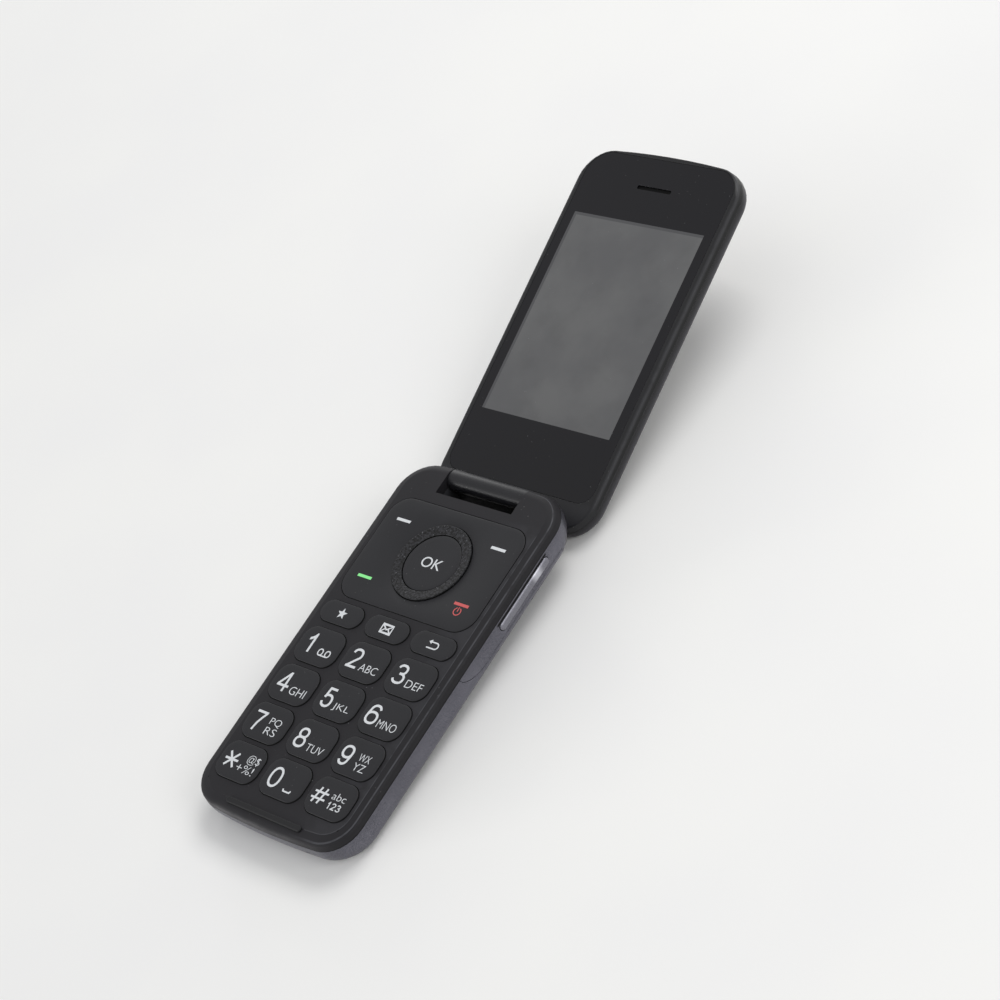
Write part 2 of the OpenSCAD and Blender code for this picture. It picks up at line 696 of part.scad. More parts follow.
// Antenna: a plastic carrier with four flat springs that touch the board
module antenna() {
    span = (antenna_x1 - antenna_x0) / 4;
    top = board_z - 0.3;
    color("#2a2a2c") box([antenna_x0, antenna_y0, antenna_z], [antenna_x1, antenna_y1, top]);
    color("#b98650")
        for (i = [0:3])
            box([antenna_x0 + (i + 0.15) * span, antenna_y0 + 0.3, top],
                [antenna_x0 + (i + 0.85) * span, antenna_y1 - 0.5, top + 0.1]);
}

// Card holder: a pressed steel roof over the card's bed
module card_holder() color("#b9bcc0") difference() {
    bed_z = shelf_z - card_t;
    slab([card_x, card_y], card_w, card_l, 0.7, bed_z, shelf_z - sheet_gap);
    box([card_x - card_w / 2 + 0.4, card_y - card_l, bed_z + 0.25],
        [card_x + card_w / 2 - 0.4, card_y + card_l / 2 - 1, bed_z + card_t - 0.4]);
    slab([card_x, card_y - 1], card_w / 2, card_l / 2, 1, -1, bed_z + 0.5);
}

module volume_switch() color("#d2d4d6") {
    x0 = volume_x - volume_depth + 0.05;
    for (s = [-1, 1])
        box([x0, volume_y + s * volume_l / 3 - 1.4, volume_z - 0.9],
            [x0 + 1.25, volume_y + s * volume_l / 3 + 1.4, volume_z + 0.9]);
    box([x0, volume_y - volume_l / 3 - 1.4, volume_z - 0.9],
        [x0 + 0.5, volume_y + volume_l / 3 + 1.4, volume_z + 0.9]);
}

// One screw: round head, straight shank
module screw(at, z_head, thick, l) {
    post(at, head_r, z_head, z_head + thick);
    post(at, screw_r, z_head + thick, z_head + thick + l);
}

module base_screws() color("#b9bcc0")
    for (s = screw_spots) screw(s, head_z, head_t, plate_under_z - 0.5 - head_z - head_t);

// Cam shaft: held in the left ear, its round nose turns in the cartridge
module hinge_cam() color("#b9bcc0") {
    shoulder = -notch_w / 2 - 0.05;
    rod(seat_gap - pivot_x, shoulder, cam_d / 2, axis_y, axis_z);
    rod(shoulder, nose_l - notch_w / 2, nose_r, axis_y, axis_z);
}

// ---- keys ----

// Key cap with a stepped crown and a flange that the face plate holds down
module key_cap(at, w, l, r, raise) {
    top = base_t + raise;
    slab(at, w, l, r, key_base_z, top - crown);
    slab(at, w - 2 * crown, l - 2 * crown, r - crown, top - crown - eps, top);
    slab(at, w + 2 * flange_w, l + 2 * flange_w, r + flange_w, key_base_z, key_base_z + flange_t);
}

module number_key(c, r) color("#303133") key_cap([c * column, row_y - r * row], key_w, key_l, key_r, key_raise);
module function_key(c) color("#303133") key_cap([c * column, pill_y], key_w, pill_l, pill_l / 2 - eps, key_raise);

module soft_key_plate() color("#2f3032") difference() {
    key_cap([0, plate_y], keys_w, plate_l, plate_r, plate_raise);
    post([0, plate_y], ring_r + key_gap, 0, far);
    post([0, plate_y], ring_r + ring_flange + key_gap, 0, well_z);
}

// Ring turned from its section: domed crown, outer flange, room for the OK key's flange
module nav_ring() color("#45464a") translate([0, plate_y, 0]) rotate_extrude($fn = 96) {
    top = base_t + plate_raise + ring_raise;
    r0 = ok_r + key_gap;
    room = r0 + 0.75;
    room_z = ring_base_z + 0.65;
    rim = ring_r + ring_flange;
    rim_z = ring_base_z + 0.5;
    polygon([[room, ring_base_z], [rim, ring_base_z], [rim, rim_z], [ring_r, rim_z], [ring_r, top - 0.35],
        [ring_r - 0.2, top - 0.1], [ring_r - 0.6, top], [r0 + 0.4, top - 0.1], [r0, top - 0.3], [r0, room_z],
        [room, room_z]]);
}

// Soft pad under the ring
module nav_ring_pad() color("#d9dadb") translate([0, plate_y, 0]) difference() {
    post([0, 0], ring_r + 0.4, ring_base_z - 0.3 - pad_t, ring_base_z - 0.3);
    post([0, 0], ok_r + 1.1, 0, far);
}

module ok_key() color("#2f3032") {
    top = base_t + plate_raise + 0.05;
    post([0, plate_y], ok_r, key_base_z, top - crown);
    post([0, plate_y], ok_r - crown, top - crown - eps, top);
    post([0, plate_y], ok_r + ring_flange, key_base_z, key_base_z + 0.4);
}

// Volume key with the flange that keeps it in the wall
module volume_key() color("#6d6976") {
    volume_slab(volume_x - 0.3, half_w + volume_raise, 0);
    volume_slab(volume_x - 1.25, volume_x - 0.25, 0.6);
}

// ---- lid ----

// Section of the bridge that carries the barrel on the lid's heel
module bridge() rotate([90, 0, 90]) translate([0, 0, bridge_in - notch_w / 2]) linear_extrude(notch_w - 2 * bridge_in)
    polygon([[-2.3, -1.3], [2.3, -1.3], [window_v - 0.5, inner_z - 0.4], [0.9 - lid_heel, inner_z - 0.4]]);

module lid_inner_housing() color("#2b2b2e") in_lid() difference() {
    under = inner_z - lid_seam - 1;
    flex_room = flex_x - flex_w / 2 - 0.2;
    union() {
        difference() {
            lid_skin(0, lid_seam);
            translate([0, 0, inner_z - ledge_k]) linear_extrude(ledge_k + 1) window_outline(seat_gap);
            slab([0, module_v], module_w + 2 * seat_gap, module_l + 2 * seat_gap, 1, under, inner_z + 1);
            slab([0, (window_v + lid_reach) / 2 - 0.1], body_w - 2 * lid_rim, lid_reach - window_v - 4.4,
                corner_r - lid_rim, under, inner_z - ledge_k - ledge_t);
        }
        rod(barrel_gap - notch_w / 2, notch_w / 2 - barrel_gap, barrel_r);
        bridge();
    }
    rod(-notch_w / 2 - 1, cartridge_x + seat_gap, cartridge_d / 2 + sheet_gap);
    rod(flex_room, notch_w / 2 + 1, bushing_d / 2 + sheet_gap);
    box([flex_room, -0.5, under], [flex_room + flex_w + 0.4, 0.5, 0]);
    slab([0, slot_v], ear_slot_w - 0.6, ear_slot_h, ear_slot_h / 2 - eps, under, inner_z + 1);
    for (s = lid_screw_spots) {
        post(s, head_r + seat_gap, inner_z - ledge_k - lid_head_t - 0.05, inner_z);
        post(s, screw_r + 0.05, under, inner_z);
    }
}

module lid_outer_housing() color("#2d2a31") in_lid() {
    difference() {
        lid_skin(lid_seam, lid_t);
        lid_skin(lid_seam - 0.5, lid_t - wall, wall);
        slab([0, outer_v], outer_window_w + 2 * seat_gap, outer_window_l + 2 * seat_gap, outer_window_r + seat_gap,
            outer_z - 1, outer_z + outer_window_t);
        slab([0, outer_v], outer_window_w - 2 * outer_frame, outer_window_l - 2 * outer_frame, outer_frame,
            outer_z - 1, outer_z + wall + 1);
        post([0, camera_v], lens_r + seat_gap, outer_z - 1, outer_z + lens_t);
        post([0, camera_v], lens_r - 0.8, outer_z - 1, outer_z + wall + 1);
    }
    for (s = lid_screw_spots)
        difference() {
            post(s, boss_r, outer_z + wall - 0.1, inner_z - ledge_k - ledge_t - sheet_gap);
            post(s, screw_r + sheet_gap, outer_z + wall + 0.2, inner_z);
        }
}

module display_window() color("#17171a") in_lid() difference() {
    translate([0, 0, inner_z - window_set - window_t]) linear_extrude(window_t) window_outline(0);
    slab([0, slot_v], ear_slot_w, ear_slot_h, ear_slot_h / 2 - eps, inner_z - 2, inner_z + 1);
}

module display_module() color("#9a9ca0") in_lid()
    slab([0, module_v], module_w, module_l, 0.8, inner_z - module_k - module_t, inner_z - module_k);

module lid_board() color("#1d5a3c") in_lid() difference() {
    slab([0, (lid_board_v0 + lid_board_v1) / 2], lid_board_w, lid_board_v1 - lid_board_v0, corner_r - 3,
        inner_z - lid_board_k - lid_board_t, inner_z - lid_board_k);
    for (s = lid_screw_spots) post(s, boss_r + 0.3, outer_z, inner_z);
}

module outer_window() color("#101013") in_lid()
    slab([0, outer_v], outer_window_w, outer_window_l, outer_window_r, outer_z, outer_z + outer_window_t - sheet_gap);

module outer_display() color("#7d8084") in_lid()
    slab([0, outer_v], outer_window_w - 4, outer_window_l - 4, 0.6, outer_z + wall + 0.05, inner_z - outer_display_k);

module earpiece() color("#33353a") in_lid()
    slab([0, slot_v], earpiece_w, earpiece_l, 1.5, inner_z - lid_board_k + 0.05, inner_z - ledge_k - ledge_t - sheet_gap);

module earpiece_mesh() color("#3a3b3e") in_lid()
    slab([0, slot_v], ear_slot_w - 0.1, ear_slot_h - 0.1, ear_slot_h / 2 - 0.06,
        inner_z - window_set - window_t, inner_z - window_t / 2);

module camera_module() color("#1c1c1e") in_lid() {
    slab([0, camera_v], camera_w, camera_w, 0.5, outer_z + wall + 0.05, inner_z - outer_display_k);
    post([0, camera_v], lens_r * 0.6, outer_z + lens_t + 0.1, outer_z + wall + 0.1);
}

module camera_lens() color("#101013") in_lid() post([0, camera_v], lens_r, outer_z, outer_z + lens_t - sheet_gap);

module lid_screws() color("#b9bcc0") in_lid()
    for (s = lid_screw_spots) {
        head = inner_z - ledge_k - sheet_gap;
        post(s, head_r, head - lid_head_t, head);
        post(s, screw_r, outer_z + wall + 0.3, head - lid_head_t + eps);
    }

// Cam cartridge in the barrel: a steel can whose mouth takes the cam shaft's nose
module hinge_cartridge() color("#b9bcc0") in_lid() difference() {
    rod(0.2 - notch_w / 2, cartridge_x, cartridge_d / 2);
    rod(-notch_w / 2 - 1, nose_l + seat_gap - notch_w / 2, nose_r + fit_gap);
}

module hinge_bushing() color("#b9bcc0") in_lid() difference() {
    rod(bushing_x0, pivot_x - seat_gap, bushing_d / 2);
    rod(bushing_x0 - 1, pivot_x + 1, bushing_bore / 2);
}

// Flexible circuit: rolled in the bushing, then flat through the bridge to the lid's board
module display_flex() color("#b9772c") in_lid() {
    roll_r = bushing_bore / 2 - 0.15;
    x0 = flex_x - flex_w / 2;
    low = inner_z - lid_board_k - 0.2;
    difference() {
        rod(x0, pivot_x - 0.6, roll_r);
        rod(x0 - 1, pivot_x, roll_r - flex_t);
    }
    box([x0, -flex_t / 2, low], [x0 + flex_w, flex_t / 2, 0.05 - roll_r]);
    box([x0, -flex_t / 2, low], [x0 + flex_w, lid_board_v0 - sheet_gap, inner_z - lid_board_k]);
}

front_housing();
rear_housing();
battery_cover();
battery();
battery_contacts();
main_board();
dome_sheet();
keypad_mat();
lid_cushion();
usb_socket();
headset_jack();
loudspeaker();
vibration_motor();
vibration_weight();
microphone();
antenna();
card_holder();
volume_switch();
base_screws();
hinge_cam();
number_key(-1, 0);  // key_1
number_key(0, 0);  // key_2
number_key(1, 0);  // key_3
number_key(-1, 1);  // key_4
number_key(0, 1);  // key_5
number_key(1, 1);  // key_6
number_key(-1, 2);  // key_7
number_key(0, 2);  // key_8
number_key(1, 2);  // key_9
number_key(-1, 3);  // key_star
number_key(0, 3);  // key_0
number_key(1, 3);  // key_hash
function_key(-1);  // favourites_key
function_key(0);  // message_key
function_key(1);  // back_key
soft_key_plate();
nav_ring_pad();
nav_ring();
ok_key();
volume_key();
lid_inner_housing();
lid_outer_housing();
display_window();
display_module();
lid_board();
outer_window();
outer_display();
earpiece();
earpiece_mesh();
camera_module();
camera_lens();
lid_screws();
hinge_cartridge();
hinge_bushing();
display_flex();
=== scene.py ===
import json
import math

import bmesh
import bpy
import numpy as np
from mathutils import Matrix, Vector

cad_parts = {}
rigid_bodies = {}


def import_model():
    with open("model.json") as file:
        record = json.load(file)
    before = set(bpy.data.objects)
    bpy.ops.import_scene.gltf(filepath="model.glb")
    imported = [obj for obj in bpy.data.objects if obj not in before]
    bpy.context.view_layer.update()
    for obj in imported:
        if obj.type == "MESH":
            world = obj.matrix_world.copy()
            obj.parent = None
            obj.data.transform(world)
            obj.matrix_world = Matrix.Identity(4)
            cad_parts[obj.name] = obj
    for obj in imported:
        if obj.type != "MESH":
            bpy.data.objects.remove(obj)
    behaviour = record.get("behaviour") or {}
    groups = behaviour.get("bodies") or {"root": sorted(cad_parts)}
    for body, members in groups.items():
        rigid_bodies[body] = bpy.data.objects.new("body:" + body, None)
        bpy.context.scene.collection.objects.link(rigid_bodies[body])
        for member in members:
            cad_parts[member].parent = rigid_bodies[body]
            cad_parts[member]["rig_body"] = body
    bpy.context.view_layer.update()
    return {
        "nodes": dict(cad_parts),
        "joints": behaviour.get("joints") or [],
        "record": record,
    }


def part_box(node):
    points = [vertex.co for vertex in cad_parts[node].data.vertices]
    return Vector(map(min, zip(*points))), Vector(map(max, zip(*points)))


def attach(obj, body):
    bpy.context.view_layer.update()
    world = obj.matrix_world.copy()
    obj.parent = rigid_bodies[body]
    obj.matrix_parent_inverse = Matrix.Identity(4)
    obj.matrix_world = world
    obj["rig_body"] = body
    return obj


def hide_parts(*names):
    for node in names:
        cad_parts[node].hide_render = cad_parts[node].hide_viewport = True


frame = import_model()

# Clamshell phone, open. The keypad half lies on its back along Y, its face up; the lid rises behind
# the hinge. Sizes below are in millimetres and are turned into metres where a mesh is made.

MM = 0.001

# ---- places and sizes taken from the solid model ----

def middle(node):
    """Middle of a node's box, in millimetres."""
    low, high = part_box(node)
    return (low + high) / 2 / MM


def span(node):
    """Size of a node's box, in millimetres."""
    low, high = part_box(node)
    return (high - low) / MM


HINGE = tuple(c / MM for j in frame["joints"] if j["name"] == "lid_hinge" for c in j["pos_m"])
FACE_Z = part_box("front_housing")[1].z / MM          # the keypad half's face
SEAM_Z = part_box("rear_housing")[1].z / MM           # where the face shell meets the painted shells
KEY_BASE_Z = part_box("key_5")[0].z / MM
KEY_TOP_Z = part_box("key_5")[1].z / MM
PLATE_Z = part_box("soft_key_plate")[1].z / MM
PLATE_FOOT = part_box("soft_key_plate")[0].y / MM
OK_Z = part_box("ok_key")[1].z / MM
RING_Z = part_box("nav_ring")[1].z / MM
RING_R, OK_R = 11.0, 8.2                            # radii of the ring and of the round key in it
KEY_GAP, KEY_CORNER = 0.15, 3.5                     # gap round both of them; radius of a key's corners
CREASE = 38                                         # degrees; a cap's sharper edges stay crisp
FLANGE_W, FLANGE_T, RING_FLANGE = 0.5, 0.6, 0.65    # flanges that hold the keys in the shell
KEY_FIELD = (22.9, -46.4, HINGE[1] - 8.6)           # half width, foot and top of the area with the keys
NOTCH_HALF = 13.05                                  # half the width of the hinge notch
NOTCH_Y = HINGE[1] - 6.3                            # and where it begins
LID_TILT = 12.1                                     # the open lid's slope in degrees
LID_EDGE_Z = -7.45                                  # the lid frame's edge, square to the lid from its axis
LID_SEAM_Z = -9.0                                   # where the lid's two shells meet, measured alike
HALF_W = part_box("front_housing")[1].x / MM          # half the phone's width


# ---- shader maths ----

class Value:
    """A number socket in a material; each operator adds one Math node."""

    def __init__(self, tree, socket):
        self.tree, self.socket = tree, socket

    def _math(self, operation, a, b=0.0):
        node = self.tree.nodes.new("ShaderNodeMath")
        node.operation = operation
        for i, v in enumerate((a, b)):
            if isinstance(v, Value):
                self.tree.links.new(v.socket, node.inputs[i])
            else:
                node.inputs[i].default_value = v
        return Value(self.tree, node.outputs[0])

    def __add__(self, o): return self._math("ADD", self, o)
    def __radd__(self, o): return self._math("ADD", o, self)
    def __sub__(self, o): return self._math("SUBTRACT", self, o)
    def __rsub__(self, o): return self._math("SUBTRACT", o, self)
    def __mul__(self, o): return self._math("MULTIPLY", self, o)
    def __rmul__(self, o): return self._math("MULTIPLY", o, self)
    def __gt__(self, o): return self._math("GREATER_THAN", self, o)
    def __lt__(self, o): return self._math("LESS_THAN", self, o)
    def __abs__(self): return self._math("ABSOLUTE", self)

    def least(self, o): return self._math("MINIMUM", self, o)
    def most(self, o): return self._math("MAXIMUM", self, o)
    def sine(self): return self._math("SINE", self)


class Finish:
    """One procedural material. node() adds any node; the rest are short names for common ones."""

    def __init__(self, name):
        self.material = bpy.data.materials.new(name)
        self.material.use_nodes = True
        self.tree = self.material.node_tree
        self.tree.nodes.clear()
        self.place = self.node("ShaderNodeTexCoord", output="Object").socket

    def node(self, kind, settings=None, sockets=None, output=0):
        """Adds a node of that kind, makes its settings, then fills its sockets with values or links."""
        node = self.tree.nodes.new(kind)
        for key, value in (settings or {}).items():
            if key == "stops":
                ramp = node.color_ramp
                while len(ramp.elements) < len(value):
                    ramp.elements.new(0.5)
                for element, (at, colour) in zip(ramp.elements, value):
                    element.position, element.color = at, colour
            else:
                setattr(node, key, value)
        for key, value in (sockets or {}).items():
            value = value.socket if isinstance(value, Value) else value
            if isinstance(value, bpy.types.NodeSocket):
                self.tree.links.new(value, node.inputs[key])
            else:
                node.inputs[key].default_value = value
        return Value(self.tree, node.outputs[output])

    def turned(self, at=(0, 0, 0), angle=(0, 0, 0), scale=(1, 1, 1)):
        """Object coordinates as seen from a place of their own."""
        return self.node("ShaderNodeMapping", {"vector_type": "TEXTURE"},
                         {"Vector": self.place, "Location": at, "Rotation": angle, "Scale": scale}).socket

    def noise(self, size, detail=2.0, place=None, rough=0.5):
        """Noise whose features are about size millimetres across, 0 to 1."""
        sockets = {"Vector": place or self.place, "Scale": 1 / (size * MM),
                   "Detail": detail, "Roughness": rough}
        return self.node("ShaderNodeTexNoise", {}, sockets, "Fac")

    def cells(self, size, spread=1.0):
        """Distance to the nearest of points strewn about size millimetres apart, 0 at a point."""
        sockets = {"Vector": self.place, "Scale": 1 / (size * MM), "Randomness": spread}
        return self.node("ShaderNodeTexVoronoi", {"feature": "F1"}, sockets, "Distance")

    def ease(self, value, low, high):
        """0 below low, 1 above high, smooth between."""
        return self.node("ShaderNodeMapRange", {"interpolation_type": "SMOOTHSTEP"},
                         {"Value": value, "From Min": low, "From Max": high}, "Result")

    def mix(self, factor, a, b):
        """Colour a where factor is 0, b where it is 1."""
        return self.node("ShaderNodeMix", {"data_type": "RGBA"}, {0: factor, 6: a, 7: b}, 2)

    def along(self, place):
        """The three coordinates of a vector as numbers."""
        node = self.tree.nodes.new("ShaderNodeSeparateXYZ")
        self.tree.links.new(place, node.inputs[0])
        return [Value(self.tree, o) for o in node.outputs]

    def places(self):
        """Object coordinates as three numbers in millimetres."""
        return self.along(self.turned(scale=(MM, MM, MM)))

    def lid_places(self):
        """Millimetres across the lid, up it from the hinge's axis, and square to it."""
        axis = tuple(c * MM for c in HINGE)
        return self.along(self.turned(axis, (math.radians(LID_TILT), 0, 0), (MM, MM, MM)))

    def bump(self, height, depth):
        """Normal for a relief whose height of 1 is depth millimetres."""
        return self.node("ShaderNodeBump", {}, {"Height": height, "Distance": depth * MM}, "Normal")

    def shade(self, **sockets):
        """Ends the material in one Principled shader; names with underscores are its sockets."""
        sockets = {k.replace("_", " "): v for k, v in sockets.items()}
        shader = self.node("ShaderNodeBsdfPrincipled", {}, sockets).socket
        out = self.tree.nodes.new("ShaderNodeOutputMaterial")
        self.tree.links.new(shader, out.inputs["Surface"])
        return self.material


def srgb(r, g, b):
    """A screen colour of 0 to 255 a channel as linear light."""
    line = [c / 255 / 12.92 if c <= 10 else ((c / 255 + 0.055) / 1.055) ** 2.4 for c in (r, g, b)]
    return (*line, 1.0)


def grey(value):
    """A grey given as linear light."""
    return (value, value, value, 1.0)


def deeper(colour, share):
    """The same colour with only that share of its light."""
    return tuple(c * share for c in colour[:3]) + (1,)


SHADE_BLACK = grey(0.001)     # painted shade in gaps and hollows


# ---- finishes ----

def dust_on(f, size=1.7, share=0.09):
    """Mask of small specks strewn size millimetres apart, and only where a broad noise allows them."""
    speck = f.ease(f.cells(size), share, share * 0.45)
    return speck * f.ease(f.noise(11, 3), 0.45, 0.62)


def moulded_black(name, colour, rough, grain, depth, dust, level=0.3, marks=None):
    """Spark-eroded black plastic: fine even grain, faint clouds of shine from rubbing, a little dust. marks
    is
    one of the three functions below: it gives the colour with its painted light and shade, a mask of
    painted shade in the gaps, and how matt that shade is."""
    f = Finish(name)
    fine = f.noise(grain, 2, rough=0.6)
    cloud = f.noise(9, 3)
    shade = f.mix(f.ease(cloud, 0.3, 0.75), deeper(colour, 0.86), colour)
    shade = f.mix(dust_on(f) * dust, shade, grey(0.32))
    if marks:
        shade, painted_shade, matt = marks(f, shade)
        # painted shade: black where the mask says
        shade = f.mix(painted_shade, shade, SHADE_BLACK)
        rough = rough + matt * painted_shade
    return f.shade(Base_Color=shade, Roughness=rough - 0.07 + 0.1 * cloud + 0.06 * fine,
                   Specular_IOR_Level=level, Normal=f.bump(fine, depth))


def face_light_and_shade(f, shade):
    """Two painted highlight lines along the border's edges, the inner one only as far as the ears, painted
    light on the chin, a dark seam, and painted shade in the gaps round the keys."""
    x, y, z = f.places()
    inner_edge, outer_edge, ears, chin = FACE_Z - 0.05, FACE_Z - 0.46, 40, -50.3
    # painted highlight lines along the border's two edges, on the right side only
    inner = f.ease(abs(z - inner_edge), 0.06, 0.03) * f.ease(y, ears + 2.5, ears)
    edge_highlight = inner.most(f.ease(abs(z - outer_edge), 0.07, 0.03))
    edge_highlight = edge_highlight * f.ease(f.noise(3, 3), 0.2, 0.6) * f.ease(x, 8, 22)
    shade = f.mix(edge_highlight * 0.4, shade, srgb(98, 99, 104))
    # painted light on the chin, stronger towards the left
    lit_band = f.ease(z, FACE_Z - 0.25, FACE_Z - 1.3) * f.ease(y, chin, chin - 1.3) * f.ease(x, 21, -2)
    shade = f.mix(lit_band * f.ease(f.noise(5, 3), 0.1, 0.6) * 0.7, shade, srgb(84, 83, 84))
    shade = f.mix(f.ease(abs(z - SEAM_Z), 0.2, 0.06), shade, grey(0.0015))
    half, foot, top = KEY_FIELD
    # painted shade in the gaps round the keys
    painted_shade = f.ease(z, FACE_Z - 0.06, FACE_Z - 0.12) * (abs(x) < half) * (y > foot) * (y < top)
    return shade, painted_shade, 0.3


def key_wall_shade(f, shade):
    """Painted shade on the keys' walls, from just under their edges; the plate's top lies lower."""
    _, y, z = f.places()
    below = KEY_TOP_Z - 0.1 - (y > PLATE_FOOT) * (KEY_TOP_Z - PLATE_Z)
    return shade, f.ease(z - below, 0.0, -0.06), 0.3


def lid_light_and_shade(f, shade):
    """Beyond the barrel, a painted highlight along the edge between a face and a side wall darkened as
    painted shade; under the barrel, painted shade on the bridge's wall."""
    _, up, out = f.lid_places()
    past_barrel = f.ease(up, 3.4, 6)
    # painted shade on the face and on the side wall, beyond the barrel
    flat = f.ease(out, LID_EDGE_Z + 0.1, LID_EDGE_Z + 0.4) * 0.5
    wall = f.ease(out, LID_EDGE_Z - 0.3, LID_EDGE_Z - 0.9) * 0.8
    shade = f.mix(flat.most(wall) * past_barrel, shade, grey(0.002))
    # painted highlight along the frame's edge
    lit_band = f.ease(abs(out - LID_EDGE_Z), 0.55, 0.25) * f.ease(f.noise(4, 3), 0.1, 0.6)
    shade = f.mix(lit_band * past_barrel * 0.5, shade, srgb(60, 60, 63))
    x, y, z = f.places()
    half = NOTCH_HALF + 0.15
    # painted shade on the bridge's wall under the barrel
    painted_shade = f.ease(z, HINGE[2] - 1.6, HINGE[2] - 2.4) * (y < HINGE[1] - 1) * (abs(x) < half)
    return shade, painted_shade, 0.35


def metallic_paint(name, dark, light, metal, rough, coat=0.2, marks=None):
    """Sprayed metallic coat: small flakes that differ in tone and tilt under a thin lacquer. marks is one
    of the two functions below: it gives the colour with its painted light and shade, and a mask of where
    there is paint."""
    f = Finish(name)
    flake = f.cells(0.09)
    sweep = f.noise(14, 2)
    shade = f.mix(f.ease(f.noise(0.14, 1), 0.35, 0.7), dark, light)
    shade = f.mix(f.ease(sweep, 0.35, 0.7) * 0.25, shade, light)
    shade = f.mix(dust_on(f, 2.6, 0.05) * 0.3, shade, grey(0.3))
    painted = 1.0
    if marks:
        shade, painted = marks(f, shade, dark)
    matt = 0.55 * (1 - painted)
    return f.shade(Base_Color=shade, Metallic=metal * painted,
                   Roughness=rough + matt + 0.1 * flake + 0.06 * sweep,
                   Coat_Weight=coat * painted, Coat_Roughness=0.22, Normal=f.bump(flake, 0.0035))


def side_paint_and_shade(f, shade, dark):
    """No paint in the hinge notch, which is black as painted shade; painted shade darker towards the seam,
    and black in it; the volume key is bright with one painted glint, and the wall has a painted shadow line
    along the key's upper edge."""
    x, y, z = f.places()
    painted = 1 - (abs(x) < NOTCH_HALF) * (y > NOTCH_Y)
    # the bare notch is black: painted shade
    shade = f.mix(painted, SHADE_BLACK, shade)
    # painted shade, darker towards the seam
    shade = f.mix(f.ease(z, SEAM_Z / 2, SEAM_Z - 0.2) * 0.3, shade, dark)
    shade = f.mix(f.ease(abs(z - SEAM_Z), 0.2, 0.05), shade, grey(0.002))
    at, (low, high) = middle("volume_key"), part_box("volume_key")
    glint_y, shadow_line_z, shadow_line_half = low.y / MM + 17, high.z / MM - 0.3, 11.2
    proud = f.ease(x, HALF_W + 0.08, HALF_W + 0.3)
    # a painted highlight on the volume key
    glint = f.ease(abs(y - glint_y), 2.6, 0.4) * 0.65
    shade = f.mix(proud * (0.18 + glint), shade, srgb(206, 206, 214))
    # a painted shadow line along the key's upper edge
    line = f.ease(abs(z - shadow_line_z), 0.42, 0.2) * f.ease(abs(y - at.y), shadow_line_half, shadow_line_half - 0.5)
    return f.mix(line * (x > HALF_W - 1.5) * (1 - proud), shade, grey(0.002)), painted


def lid_coat_shade(f, shade, _):
    """Darker towards the lid's seam: painted shade."""
    out = f.lid_places()[2]
    return f.mix(f.ease(out, LID_SEAM_Z - 2, LID_SEAM_Z - 0.3) * 0.75, shade, grey(0.004)), 1.0


def ring_finish():
    """Coarse glittering grain: small pits about 0.4 mm apart in dark and light patches, with bright sparks,
    and painted shade on its walls."""
    f = Finish("ring_coat")
    pits = f.cells(0.42)
    spark = f.ease(f.cells(0.8), 0.2, 0.08) * f.ease(f.noise(0.7, 1), 0.4, 0.6)
    z = f.places()[2]
    shade = f.mix(f.ease(f.noise(0.55, 3), 0.4, 0.64), grey(0.002), srgb(44, 44, 47))
    shade = f.mix(spark * 0.5, shade, srgb(150, 150, 156))
    # painted shade on the ring's walls
    shade = f.mix(f.ease(z, RING_Z - 0.13, RING_Z - 0.2) * (z < OK_Z), shade, SHADE_BLACK)
    return f.shade(Base_Color=shade, Roughness=0.52 - 0.1 * spark, Specular_IOR_Level=0.24,
                   Normal=f.bump(pits, 0.07))


def panel_finish():
    """Gloss panel, printed black behind, with the display's grey picture showing through it. The frame's
    shadow lies on the picture's left and upper border."""
    f = Finish("display_panel")
    x, up, _ = f.lid_places()
    half_w, half_h, centre, left, upper = 21.72, 28.77, 50.95, -20.9, 78.95
    inside = f.ease(abs(x), half_w, half_w - 0.06) * f.ease(abs(up - centre), half_h, half_h - 0.06)
    shadow = 1 - f.ease(x, left, left + 0.1) * f.ease(up, upper, upper - 0.1)
    cloud = f.noise(16, 3)
    picture = f.mix(f.ease(cloud, 0.3, 0.72), srgb(86, 86, 87), srgb(95, 95, 95))
    picture = f.mix(shadow * 0.8, picture, srgb(68, 68, 70))
    smear = f.ease(f.noise(6, 4), 0.5, 0.75)
    picture = f.mix(smear * 0.12, picture, srgb(64, 64, 62))
    shade = f.mix(inside, (0.0014, 0.0012, 0.003, 1), picture)
    shade = f.mix(dust_on(f, 1.5, 0.06) * 0.5, shade, grey(0.4))
    return f.shade(Base_Color=shade, Roughness=0.09 + 0.05 * smear, Specular_IOR_Level=0.3)


def dark_glass(name):
    """Smoked and polished window, a little greasy in places, with a few specks of dust."""
    f = Finish(name)
    smear = f.ease(f.noise(5, 4), 0.4, 0.8)
    shade = f.mix(dust_on(f, 1.6, 0.05) * 0.4, grey(0.004), grey(0.4))
    return f.shade(Base_Color=shade, Roughness=0.07 + 0.015 * smear, Specular_IOR_Level=0.5)


def plain_metal(name, colour, rough, lines=True):
    """Pressed or turned metal: drawn lines one way, or a fine grain, and small stains."""
    f = Finish(name)
    drawn = f.noise(0.35, 2, f.turned(scale=(12, 1, 1))) if lines else f.noise(0.2, 2)
    stain = f.noise(3, 3)
    shade = f.mix(f.ease(stain, 0.4, 0.8) * 0.4, colour, deeper(colour, 0.6))
    return f.shade(Base_Color=shade, Metallic=1.0, Roughness=rough + 0.12 * drawn,
                   Normal=f.bump(drawn, 0.002))


